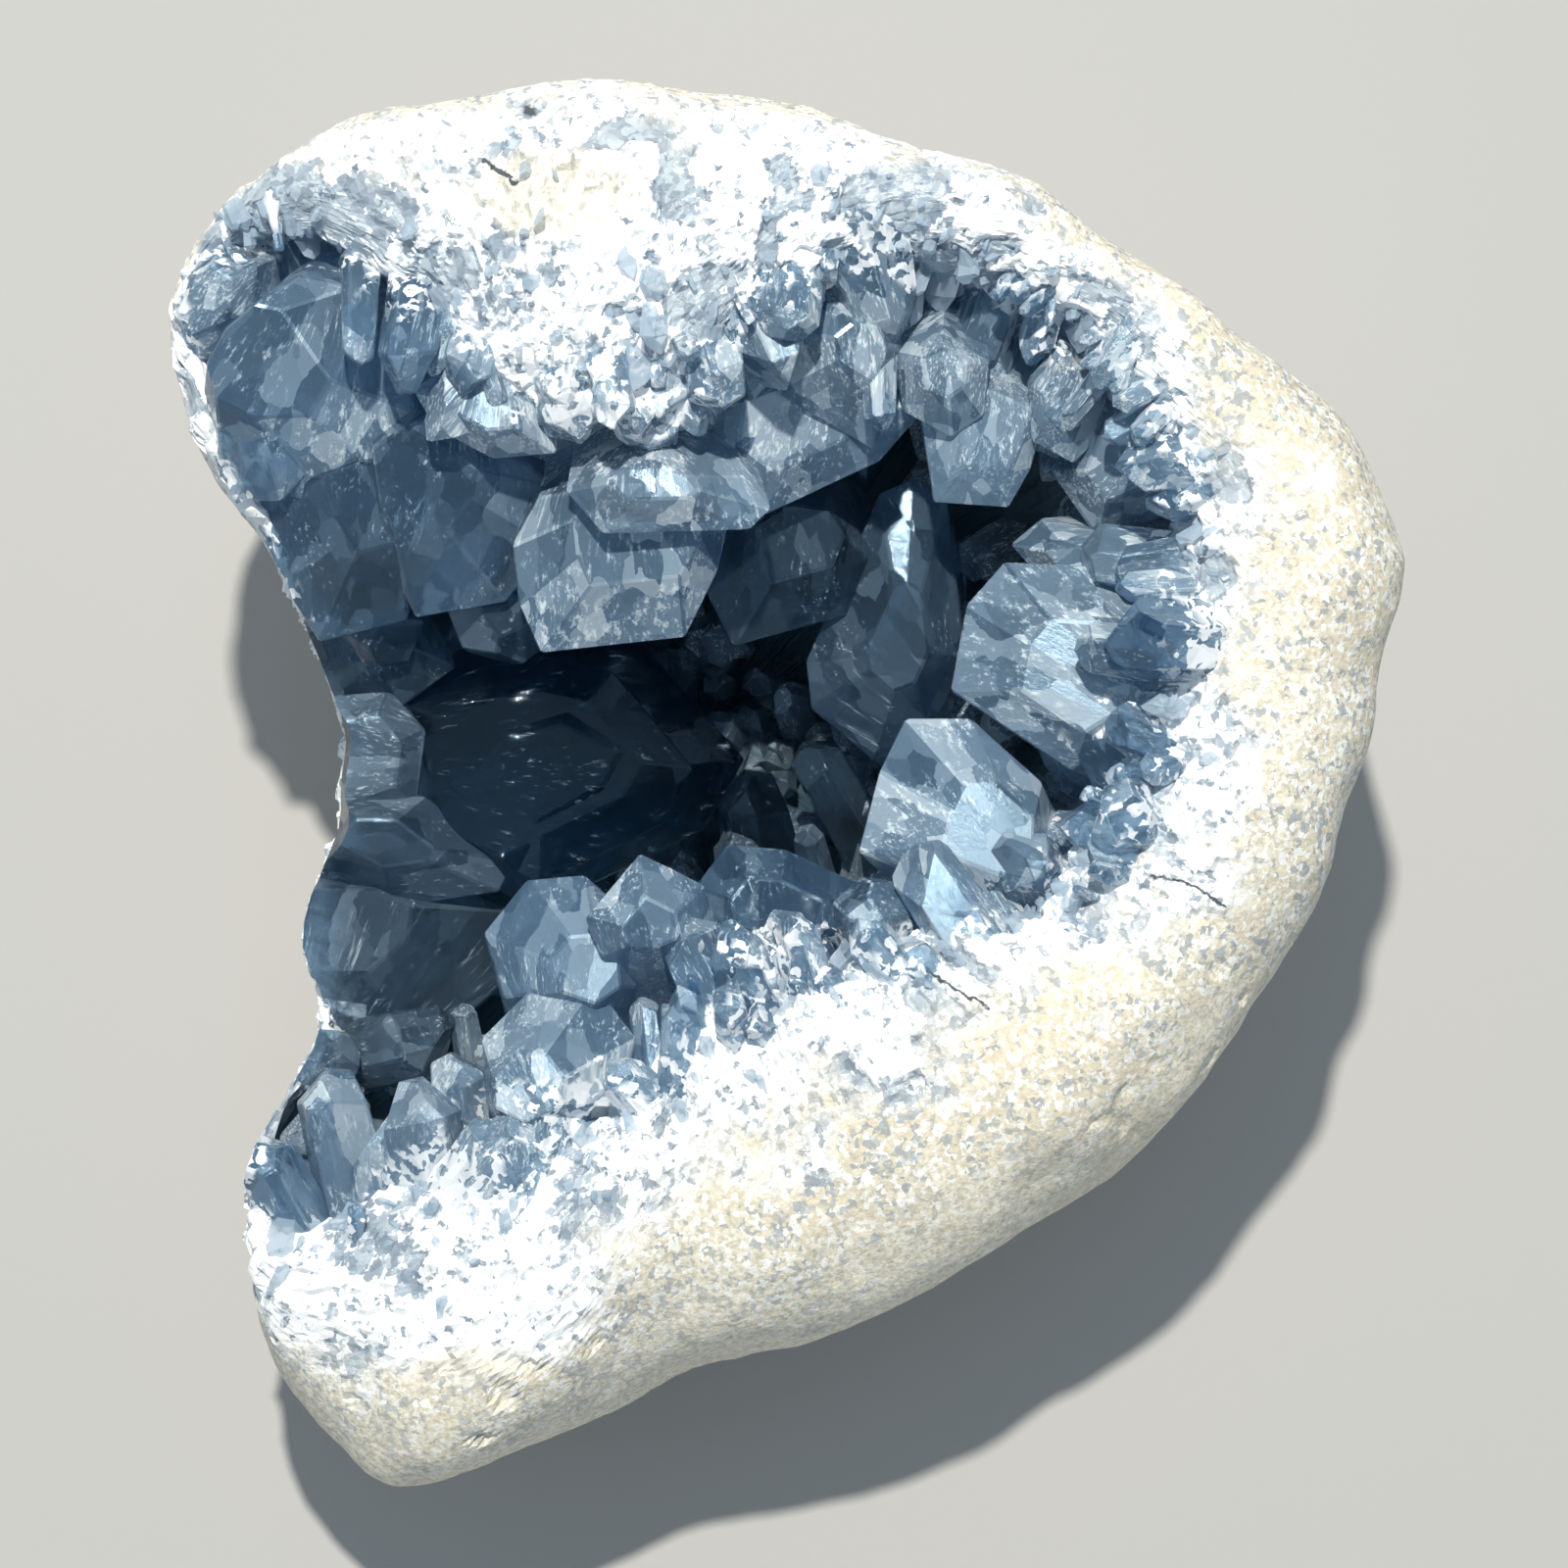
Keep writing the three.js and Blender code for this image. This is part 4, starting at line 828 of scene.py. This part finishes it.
def crack_piece(settings, inner):
    """Feathery cracks inside the large crystals: fans of thin spindles, each from a point over four middle
    corners to a point, that spread from one spot and stop inside the crystal's faces."""
    random = np.random.default_rng(settings.seed)
    spindles = []
    for planes, apex in inner:
        normals, away = planes[:, :3], planes[:, 3]
        # The fans stand round the roomiest of many tries near the middle of the crystal
        tries = np.linalg.lstsq(normals, away - 3, rcond=None)[0] + random.uniform(-14, 14, (400, 3))
        gap = (away - tries @ normals.T).min(1)
        middle, room = tries[gap.argmax()], gap.max()
        if room < 0.7:
            continue
        grow = (middle - apex) / np.linalg.norm(middle - np.array(apex))
        for _ in range(int(1 + settings.fans * min(1, room / 4))):
            centre = middle + random.normal(size=3) * room * 0.6
            axis = grow + 0.4 * random.normal(size=3)
            axis /= np.linalg.norm(axis)
            side = np.cross(axis, random.normal(size=3))
            side /= np.linalg.norm(side)
            count = random.integers(4, 10)
            turn = np.linspace(-1, 1, count) + 0.25 * random.normal(size=count)
            turn = turn * random.uniform(0.1, 0.5)
            way = axis * np.cos(turn)[:, None] + side * np.sin(turn)[:, None]
            start = centre + way * random.uniform(0, 0.9, (count, 1)) * room
            closing = way @ normals.T
            left = away - 0.25 - start @ normals.T
            limit = np.where(closing > 1e-3, left / np.maximum(closing, 1e-3), 1e3).min(1)
            length = np.minimum(limit, random.uniform(1, 7, count))
            flat = (start + way * length[:, None])[:, :2] - CENTRE
            edge = nodule_radius(np.arctan2(flat[:, 1], flat[:, 0]))
            good = (left > 0).all(1) & (limit > 0.8) & (np.hypot(*flat.T) < edge - 1)
            wide = random.uniform(0.03, 0.12, count)
            across = np.cross(way, np.cross(axis, side))
            spindles.append(np.column_stack([start, way, across, length, wide])[good])
    start, way, side, reach, wide = np.split(np.concatenate(spindles), (3, 6, 9, 10), axis=1)
    flat = np.cross(way, side)
    middle = start + way * reach * 0.4
    rings = [start, middle + side * wide, middle + flat * wide * 0.5, middle - side * wide,
             middle - flat * wide * 0.5, start + way * reach]
    base = (np.arange(len(start)) * len(rings))[:, None, None]
    fans = [(0, 2, 1), (0, 3, 2), (0, 4, 3), (0, 1, 4), (5, 1, 2), (5, 2, 3), (5, 3, 4), (5, 4, 1)]
    faces = (base + np.array(fans)).reshape(-1, 3).tolist()
    return carried("inner_cracks", new_mesh("inner_cracks", placed(np.stack(rings, 1)), faces), "celestine")


def shard_piece(settings):
    """Broken blades of crystal along the inner half of the rim: each is a flattened six-cornered profile
    carried from a root ring to a slanted shoulder ring and a smaller tip ring, and most lean inward."""
    random = np.random.default_rng(settings.seed)
    rings, corners = 3, 6
    angle = random.uniform(0, TURN, settings.count)
    angle = angle[nodule_radius(angle) - rim_radius(angle) > 7]
    count = len(angle)
    inner = random.uniform(0, 1, count) ** 0.6
    root, onward, out = normal_at(angle, 1 + mix(crushed_from(angle) + 0.1, 1.15, inner), 0.02, 0.03)
    root = root + out * relief(root)[:, None] - out * 0.5
    x = unit(out * 0.45 + unit(onward) * random.uniform(0.0, 1.2, (count, 1))
             + 0.4 * random.uniform(-1, 1, (count, 3)))
    y = unit(np.cross(x, out + 0.7 * random.normal(size=(count, 3))))
    z = np.cross(x, y)
    size = settings.size / MM * mix(0.5, 1.1, inner) * random.lognormal(-0.25, 0.6, count)
    size = np.minimum(size, 3 * settings.size / MM)
    turns = (np.arange(corners) + random.uniform(-0.3, 0.3, (count, corners))) * TURN / corners
    profile = np.stack([np.cos(turns), np.sin(turns) * random.uniform(0.3, 0.8, (count, 1))], -1)
    share = np.array([[0.8, 1.0, 0.5]]) * np.ones((count, 1))
    share[:, 2] = random.uniform(0.1, 0.8, count)
    reach = np.stack([np.full(count, -1.2), random.uniform(0.3, 1.4, count),
                      random.uniform(0.4, 0.9, count)], 1)
    reach[:, 2] += reach[:, 1]
    slant = random.uniform(-0.6, 0.6, (count, rings, 2))
    slant[:, 0] = 0
    shift = np.zeros((count, rings, 2))
    shift[:, 2] = random.uniform(-0.2, 0.2, (count, 2))
    flat = profile[:, None] * share[..., None, None] + shift[:, :, None]
    along = reach[..., None] + (flat * slant[:, :, None]).sum(-1)
    points = (along[..., None] * x[:, None, None] + flat[..., :1] * y[:, None, None]
              + flat[..., 1:] * z[:, None, None]) * size[:, None, None, None] + root[:, None, None]
    base = (np.arange(count) * rings * corners)[:, None]
    c = np.arange(corners)
    on = (c + 1) % corners
    faces = []
    for low in range(0, (rings - 1) * corners, corners):
        quads = np.stack([low + c, low + on, low + corners + on, low + corners + c], -1)
        faces += (base[:, None] + quads[None]).reshape(-1, 4).tolist()
    faces += (base + c[::-1]).tolist() + (base + (rings - 1) * corners + c).tolist()
    piece = carried("rim_shards", new_mesh("rim_shards", placed(points), faces), "celestine")
    frost = np.clip(1.15 - inner * 0.8 + random.uniform(-0.4, 0.35, count), 0, 1)
    for name, values in (("frost", frost), ("deep", np.zeros(count)),
                         ("tone", random.uniform(0.1, 0.9, count)),
                         ("apex", placed(root - x * 2 * size[:, None]))):
        point_value(piece, name, np.repeat(values, rings * corners, 0))
    return piece


# ---------------------------------------------------------------- materials


def node(tree, kind, wires=(), out=0, **settings):
    """Adds a node and gives one of its outputs, or all of them where out is None. wires gives its inputs in
    order or by name, each a value or another node's output, and settings are its own fields."""
    made = tree.nodes.new("ShaderNode" + kind)
    for field, value in settings.items():
        setattr(made, field, value)
    for name, value in wires.items() if isinstance(wires, dict) else enumerate(wires):
        if isinstance(value, bpy.types.NodeSocket):
            tree.links.new(value, made.inputs[name])
        else:
            made.inputs[name].default_value = value
    return made.outputs if out is None else made.outputs[out]


def new_material(name):
    """An empty material, and the function that adds a node to it."""
    made = bpy.data.materials.new(name)
    made.use_nodes = True
    made.node_tree.nodes.clear()
    return made, partial(node, made.node_tree)


def rgba(value):
    return (*value, 1)


def celestine_material(settings):
    """Celestine: strontium sulphate, clear grey-blue crystal with a glassy lustre and an index of 1.62.
    Each crystal grew with fine streaks that spread from its root, is split by cracks inside it, and was
    shattered to white crumbs where the nodule was broken open."""
    made, add = new_material("celestine")
    at = add("TexCoord", out="Object")
    tone, edge, frost, deep = [add("Attribute", out="Fac", attribute_name=name)
                               for name in ("tone", "edge", "frost", "deep")]
    apex = add("Attribute", out="Vector", attribute_name="apex")
    # Lines that spread from the apex: noise over the way from it, which hardly changes along that way. 46
    # steps to a radian make them 0.4 mm wide at 20 mm from the apex
    away = add("VectorMath", (at, apex), operation="SUBTRACT")
    way = add("VectorMath", (away,), operation="NORMALIZE")
    along = add("VectorMath", {0: at, "Scale": 1.6}, operation="SCALE")
    drawn = add("VectorMath", (way, along), operation="ADD")
    veins = add("TexNoise", {"Vector": drawn, "Scale": 46, "Detail": 5, "Roughness": 0.75})
    # Haze comes and goes over 6 mm
    haze = add("TexNoise", {"Vector": at, "Scale": 170, "Detail": 5, "Roughness": 0.65})
    # Cracks inside, as angular patches, 7 mm long and 2 mm wide at 20 mm from the apex, and splinters of
    # 1 mm: each patch throws back its own share of light and tilts the shine
    nudge = add("TexNoise", {"Vector": at, "Scale": 380, "Detail": 3}, "Color")
    bent = add("VectorMath", {0: nudge, "Scale": 0.004}, operation="SCALE")
    near = add("VectorMath", (at, bent), operation="ADD")
    fanned = add("VectorMath", {0: way, "Scale": 0.022}, operation="SCALE")
    short = add("VectorMath", {0: near, "Scale": 0.42}, operation="SCALE")
    sheaf = add("VectorMath", (fanned, short), operation="ADD")
    plane = add("TexVoronoi", {"Vector": sheaf, "Scale": 330}, "Color")
    splinter = add("TexVoronoi", {"Vector": near, "Scale": 1000}, "Color")
    patch = add("SeparateColor", (plane,))
    crumb = add("SeparateColor", (splinter,))
    film = add("Math", (patch, 2), operation="POWER")
    films = add("MapRange", {"Value": film, "To Min": 0.24, "To Max": 0.68})
    cloudy = add("Math", (films, tone), operation="MULTIPLY")
    fill = add("Math", (tone, 0.065), operation="MULTIPLY")
    raised = add("Math", (veins, fill), operation="ADD")
    line = add("MapRange", {"Value": raised, "From Min": 0.58, "From Max": 0.7, "To Max": 0.6})
    where = add("Math", (haze, fill), operation="ADD")
    here = add("MapRange", {"Value": where, "From Min": 0.48, "From Max": 0.6})
    veil = add("Math", (line, here), operation="MULTIPLY")
    soft = add("Math", (veil, cloudy), operation="ADD")
    # Painted highlight: the chamfers along the edges are made milky, so that they show as thin bright lines
    highlit = add("Math", (edge, 0.75), operation="MULTIPLY")
    lined = add("Math", (soft, highlit), operation="MAXIMUM")
    # White crumbs where it is frosted
    spots = add("Math", (crumb, frost), operation="ADD")
    crust = add("MapRange", {"Value": spots, "From Min": 1.02, "From Max": 1.25, "To Max": 0.95})
    milky = add("Math", (lined, crust), operation="MAXIMUM")
    tint = add("Mix", {"Factor": deep, "A": rgba(settings.clear), "B": rgba(settings.deep)}, 2,
               data_type="RGBA")
    tint = add("Mix", {"Factor": lined, "A": tint, "B": rgba(settings.veil)}, 2, data_type="RGBA")
    tint = add("Mix", {"Factor": crust, "A": tint, "B": rgba(settings.frost)}, 2, data_type="RGBA")
    clear = add("MapRange", {"Value": milky, "To Min": 1.0, "To Max": 0.1})
    gloss = add("MapRange", {"Value": milky, "To Min": 0.0, "To Max": 0.45})
    centred = add("VectorMath", (plane, (0.5, 0.5, 0.5)), operation="SUBTRACT")
    tilt = add("VectorMath", {0: centred, "Scale": 0.2}, operation="SCALE")
    tilted = add("VectorMath", (add("NewGeometry", out="Normal"), tilt), operation="ADD")
    level = add("VectorMath", (tilted,), operation="NORMALIZE")
    bump = add("Bump", {"Height": veins, "Strength": 0.25, "Distance": 0.0003, "Normal": level})
    # The sky that shows in its faces is tinted as the crystal is, because films just under the faces throw
    # part of it back through the blue
    shader = add("BsdfPrincipled", {
        "Base Color": tint, "Roughness": gloss, "IOR": 1.62, "Specular IOR Level": 0.3,
        "Specular Tint": (0.52, 0.76, 0.97, 1), "Transmission Weight": clear, "Normal": bump})
    soak = add("VolumeAbsorption", {"Color": rgba(settings.depth_colour), "Density": settings.density})
    add("OutputMaterial", {"Surface": shader, "Volume": soak}, None)
    return made


def crack_material(settings):
    """Cracks in celestine: thin films of air between rough faces, which throw back most of the light."""
    made, add = new_material("celestine_cracks")
    shader = add("BsdfPrincipled", {
        "Base Color": rgba(settings.crack), "Roughness": 0.35, "IOR": 1.62, "Transmission Weight": 0.3})
    add("OutputMaterial", {"Surface": shader}, None)
    return made


def marked(add, at, ragged):
    """One on the marks of the face and 0 elsewhere. Each mark is a line: the nearest point of it is found
    from the share of the way along it, and the mark ends at half its width from there. Seen along w."""
    c, s = math.cos(LEAN), math.sin(LEAN)
    moved = (REST_AT[0], REST_AT[1] * c - REST_DROP * s, 0)
    face = add("Mapping", {"Vector": at, "Location": moved, "Rotation": (-LEAN, 0, 0),
                           "Scale": (1 / MM,) * 3})
    rough = add("VectorMath", {0: ragged, "Scale": 1.2}, operation="SCALE")
    uneven = add("VectorMath", (face, rough), operation="ADD")
    total = 0.0
    for start, end, half in MARKS:
        # The raggedness is 0.6 mm on the whole, so the line is moved on by as much
        start, way = (*(np.array(start) + 0.6), 0), (*np.subtract(end, start), 0)
        gone = add("VectorMath", (uneven, start), operation="SUBTRACT")
        gone = add("VectorMath", (gone, (1, 1, 0)), operation="MULTIPLY")
        along = tuple(np.array(way) / np.dot(way, way))
        share = add("VectorMath", (gone, along), "Value", operation="DOT_PRODUCT")
        share = add("Clamp", (share,))
        near = add("VectorMath", {0: way, "Scale": share}, operation="SCALE")
        gap = add("VectorMath", (gone, near), "Value", operation="DISTANCE")
        mark = add("MapRange", {"Value": gap, "From Min": half, "From Max": half * 2, "To Min": 1.0,
                                "To Max": 0.0})
        total = add("Math", (mark, total), operation="MAXIMUM")
    return total


def stone_material(settings):
    """Limy sandstone rubbed smooth by rolling, which leaves it matt and cream with bits of grey crystal,
    and crushed celestine where the nodule is broken open, which is white with clear glints between."""
    made, add = new_material("geode_stone")
    at = add("TexCoord", out="Object")
    crushed, hollow, clear, band, stain, deep, speckled = [
        add("Attribute", out="Fac", attribute_name=name)
        for name in ("crushed", "hollow", "clear", "band", "stain", "deep", "speckled")]
    much = add("MapRange", {"Value": speckled, "To Min": 0.22, "To Max": 0.75})
    # Sand of about 0.3 mm, drawn twice as coarse so that it shows
    grains = add("TexNoise", {"Vector": at, "Scale": 1500, "Detail": 3, "Roughness": 0.7})
    # Angular bits of 1 mm and motes of 0.5 mm, whose edges wander, more of them in patches of 7 mm
    nudge = add("TexNoise", {"Vector": at, "Scale": 900, "Detail": 2}, "Color")
    bent = add("VectorMath", {0: nudge, "Scale": 0.0011}, operation="SCALE")
    near = add("VectorMath", (at, bent), operation="ADD")
    bits = add("TexVoronoi", {"Vector": near, "Scale": 1050}, "Color")
    dust = add("TexVoronoi", {"Vector": near, "Scale": 1900}, "Color")
    bit = add("SeparateColor", (bits,), None)
    mote = add("SeparateColor", (dust,), None)
    patch = add("TexNoise", {"Vector": at, "Scale": 150, "Detail": 3, "Roughness": 0.6})
    contrast = add("MapRange", {"Value": grains, "From Min": 0.35, "From Max": 0.65})
    sand = add("Mix", {"Factor": contrast, "A": rgba(settings.shade), "B": rgba(settings.cream)}, 2,
               data_type="RGBA")
    warm = sand
    for layer, share in ((band, 0.16), (stain, 0.42)):
        strength = add("Math", (layer, share), operation="MULTIPLY")
        warm = add("Mix", {"Factor": strength, "A": warm, "B": rgba(settings.tan)}, 2, data_type="RGBA")
    large = add("Math", (bit[2], 0.6), operation="MULTIPLY")
    small = add("Math", (mote[0], 0.45), operation="MULTIPLY")
    either = add("Math", (large, small), operation="ADD")
    many = add("Math", (either, patch), operation="ADD")
    spots = add("MapRange", {"Value": many, "From Min": 1.18, "From Max": 1.3, "To Max": much})
    chalky = add("MapRange", {"Value": mote[1], "From Min": 0.66, "From Max": 0.74, "To Max": much})
    light = add("Mix", {"Factor": chalky, "A": warm, "B": rgba(settings.crushed)}, 2, data_type="RGBA")
    outside = add("Mix", {"Factor": spots, "A": light, "B": rgba(settings.speck)}, 2, data_type="RGBA")
    # Crushed crystal: angular bits, each white or clear, with more clear ones in some patches
    mixed = add("Math", (bit[0], small), operation="ADD")
    dense = add("Math", (mixed, patch), operation="ADD")
    more = add("Math", (dense, clear), operation="ADD")
    gap = add("MapRange", {"Value": more, "From Min": 1.5, "From Max": 1.66, "To Max": 0.9})
    pale = add("Mix", {"Factor": bit[1], "A": rgba(settings.window), "B": rgba(settings.pale)}, 2,
               data_type="RGBA")
    open_face = add("Mix", {"Factor": gap, "A": rgba(settings.crushed), "B": pale}, 2, data_type="RGBA")
    tinted = add("Math", (stain, 0.6), operation="MULTIPLY")
    creamy = add("Mix", {"Factor": tinted, "A": open_face, "B": warm}, 2, data_type="RGBA")
    face = add("Mix", {"Factor": crushed, "A": outside, "B": creamy}, 2, data_type="RGBA")
    mark = add("Math", (marked(add, at, nudge), speckled), operation="MULTIPLY")
    scored = add("Mix", {"Factor": mark, "A": face, "B": rgba(settings.mark)}, 2, data_type="RGBA")
    # The wall behind the crystals, which goes from pale near the rim to dark deep in the hollow as painted
    # shade, and the stone's own shine: matt, but glassy where crystal is bare
    wall = add("Mix", {"Factor": deep, "A": rgba(settings.near), "B": rgba(settings.deep)}, 2,
               data_type="RGBA")
    tint = add("Mix", {"Factor": hollow, "A": scored, "B": wall}, 2, data_type="RGBA")
    rough = add("MapRange", {"Value": gap, "To Min": 0.8, "To Max": 0.3})
    bump = add("Bump", {"Height": grains, "Strength": 0.45, "Distance": 0.0003})
    shader = add("BsdfPrincipled", {"Base Color": tint, "Roughness": rough, "Normal": bump})
    add("OutputMaterial", {"Surface": shader}, None)
    return made


# ---------------------------------------------------------------- settings, operators and panel


def colour(name, about, value):
    return FloatVectorProperty(name=name, description=about, default=linear(value), subtype="COLOR", size=3,
                               min=0, max=1)


def length(name, about, value):
    return FloatProperty(name=name, description=about, default=value * MM, min=0, precision=6,
                         unit="LENGTH")


def whole(name, about, value, most=9999):
    return IntProperty(name=name, description=about, default=value, min=0, max=most)


class StoneSettings(bpy.types.PropertyGroup):
    """Sizes and colours of the stone."""

    relief: FloatProperty(name="Relief", description="Height of the fine relief, as a share of its own",
                          default=1, min=0, max=3, subtype="FACTOR")
    cream: colour("Cream", "The stone's own colour", "#f5edda")
    shade: colour("Shade", "Its darker grains", "#c4bdac")
    tan: colour("Tan", "Its stained patches and bands", "#d5c9ae")
    speck: colour("Speck", "Bits of grey crystal in it", "#919ba4")
    crushed: colour("Crushed", "The crushed crystal round the mouth", "#f7f9fa")
    mark: colour("Mark", "Scratches and dark bits", "#4d545b")
    window: colour("Window", "Clear spots in the crushed crystal", "#687b8f")
    pale: colour("Pale window", "Half-clear spots in the crushed crystal", "#b3c0ca")
    # The wall behind the crystals goes from near to deep down the hollow: painted shade, darker deeper in the
    # hollow
    near: colour("Near", "The wall behind the crystals, near the rim", "#d6e4f0")
    deep: colour("Deep", "The wall deep in the hollow", "#2c4653")


class CrystalSettings(bpy.types.PropertyGroup):
    """Sizes and colours of the crystals."""

    seed: whole("Seed", "Which scatter of small crystals to grow", 7)
    small: whole("Small crystals", "How many grow on the wall", 300, 600)
    edge: whole("Edge crystals", "How many grow along the rim's inner edge", 190, 600)
    fans: whole("Crack fans", "How many fans of cracks a large crystal has", 4, 20)
    # The chamfers are painted milky as a highlight along each edge
    chamfer: FloatProperty(name="Chamfer", description="Width of the worn edges, in millimetres",
                           default=0.22, min=0.05, max=2)
    finest: FloatProperty(name="Finest", description="Longest edge of the mesh, in millimetres",
                          default=2.2, min=0.5, max=20)
    clear: colour("Clear", "Tint of the clear crystal's surface", "#86b5dc")
    deep: colour("Deep", "Its tint deep in the hollow", "#9cbedb")
    veil: colour("Veil", "Its cracks and streaks", "#d8e2e6")
    frost: colour("Frost", "Its shattered white parts", "#f2f6fa")
    crack: colour("Crack", "The cracks inside", "#dceaf6")
    depth_colour: colour("Depth colour", "What light keeps as it passes through", "#86b8dc")
    density: FloatProperty(name="Absorption", description="How fast the colour deepens, per metre",
                           default=16, min=0, max=1000)


class ShardSettings(bpy.types.PropertyGroup):
    """Sizes of the broken blades on the rim."""

    seed: whole("Seed", "Which scatter of blades to lay", 23)
    count: whole("Count", "How many blades there are", 2200, 6000)
    size: length("Size", "Half the width of a middling blade", 0.75)


class StageSettings(bpy.types.PropertyGroup):
    """The floor, the lights and the camera."""

    floor: colour("Floor", "Colour of the floor", "#b5b4b2")
    half: length("Floor half", "Half the floor's side", 1500)
    lens: FloatProperty(name="Lens", description="Focal length", default=85, min=20, max=300, unit="CAMERA")
    lamp_away: length("Lamp distance", "From the middle of the face to the lamp", 800)
    lamp_size: length("Lamp size", "Width of the round lamp", 30)
    lamp_power: FloatProperty(name="Lamp power", description="Power of the lamp", default=8, min=0,
                              unit="POWER")
    sky: FloatProperty(name="Sky", description="Strength of the soft light all round", default=0.46, min=0)


class GEODE_OT_stone(bpy.types.Operator):
    """Make the stone nodule"""

    bl_idname = "geode.stone"
    bl_label = "Stone nodule"

    def execute(self, context):
        settings = context.scene.geode_stone
        piece = stone_piece(settings)
        piece.data.materials.append(stone_material(settings))
        return {"FINISHED"}


class GEODE_OT_crystals(bpy.types.Operator):
    """Make the crust of clear crystals, with the cracks inside the large ones"""

    bl_idname = "geode.crystals"
    bl_label = "Crystal crust"

    def execute(self, context):
        settings = context.scene.geode_crystals
        piece, inner = crystal_piece(settings)
        piece.data.materials.append(celestine_material(settings))
        cracks = crack_piece(settings, inner)
        cracks.data.materials.append(crack_material(settings))
        return {"FINISHED"}


class GEODE_OT_shards(bpy.types.Operator):
    """Lay the broken bits of crystal over the rim"""

    bl_idname = "geode.shards"
    bl_label = "Rim shards"

    def execute(self, context):
        piece = shard_piece(context.scene.geode_shards)
        piece.data.materials.append(bpy.data.materials["celestine"])
        return {"FINISHED"}


class GEODE_OT_stage(bpy.types.Operator):
    """Lay the floor and set up the lights and the camera"""

    bl_idname = "geode.stage"
    bl_label = "Stage"

    def execute(self, context):
        scene, settings = context.scene, context.scene.geode_stage
        mesh = bpy.data.meshes.new("floor")
        half = settings.half
        mesh.from_pydata([(-half, -half, 0), (half, -half, 0), (half, half, 0), (-half, half, 0)], [],
                         [(0, 1, 2, 3)])
        floor = shown("floor", mesh)
        # Heavy matt paper, pressed smooth: an even pale ground with hardly any shine
        paper, add = new_material("floor")
        shader = add("BsdfPrincipled", {"Base Color": rgba(settings.floor), "Roughness": 0.9})
        add("OutputMaterial", {"Surface": shader}, None)
        mesh.materials.append(paper)
        middle = Vector(placed((0, 0, 0)))
        up = Vector((0, -math.sin(LEAN), math.cos(LEAN)))
        above = Vector((0, math.cos(LEAN), math.sin(LEAN)))
        way = up * LAMP_WAY[2] + above * LAMP_WAY[1] + Vector((1, 0, 0)) * LAMP_WAY[0]
        light = bpy.data.lights.new("key", "AREA")
        light.shape, light.size, light.energy = "DISK", settings.lamp_size, settings.lamp_power
        light.color = LAMP_COLOUR
        lamp = shown("key", light)
        lamp.location = middle + way.normalized() * settings.lamp_away
        lamp.rotation_euler = way.to_track_quat("Z", "Y").to_euler()
        scene.world = bpy.data.worlds.new("studio")
        scene.world.use_nodes = True
        sky = scene.world.node_tree.nodes["Background"].inputs
        sky["Color"].default_value, sky["Strength"].default_value = SKY_COLOUR, settings.sky
        camera = bpy.data.cameras.new("camera")
        camera.lens, camera.sensor_width = settings.lens, 36
        eye = shown("camera", camera)
        eye.location = middle + up * (FRAME_HALF / (camera.sensor_width / 2 / camera.lens))
        eye.rotation_euler = up.to_track_quat("Z", "Y").to_euler()
        scene.camera = eye
        scene.view_settings.view_transform = "Standard"
        return {"FINISHED"}


OPERATORS = (GEODE_OT_stone, GEODE_OT_crystals, GEODE_OT_shards, GEODE_OT_stage)


class GEODE_PT_panel(bpy.types.Panel):
    """The geode's pieces"""

    bl_label = "Celestite geode"
    bl_space_type = "VIEW_3D"
    bl_region_type = "UI"
    bl_category = "Geode"

    def draw(self, context):
        for made in OPERATORS:
            self.layout.operator(made.bl_idname)


GROUPS = {"geode_stone": StoneSettings, "geode_crystals": CrystalSettings, "geode_shards": ShardSettings,
          "geode_stage": StageSettings}
CLASSES = (*GROUPS.values(), *OPERATORS, GEODE_PT_panel)


def register():
    for made in CLASSES:
        bpy.utils.register_class(made)
    for name, group in GROUPS.items():
        setattr(bpy.types.Scene, name, PointerProperty(type=group))


def unregister():
    for name in GROUPS:
        delattr(bpy.types.Scene, name)
    for made in reversed(CLASSES):
        bpy.utils.unregister_class(made)


def main():
    register()
    bpy.ops.geode.stone()
    bpy.ops.geode.crystals()
    bpy.ops.geode.shards()
    bpy.ops.geode.stage()


if __name__ == "__main__":
    main()
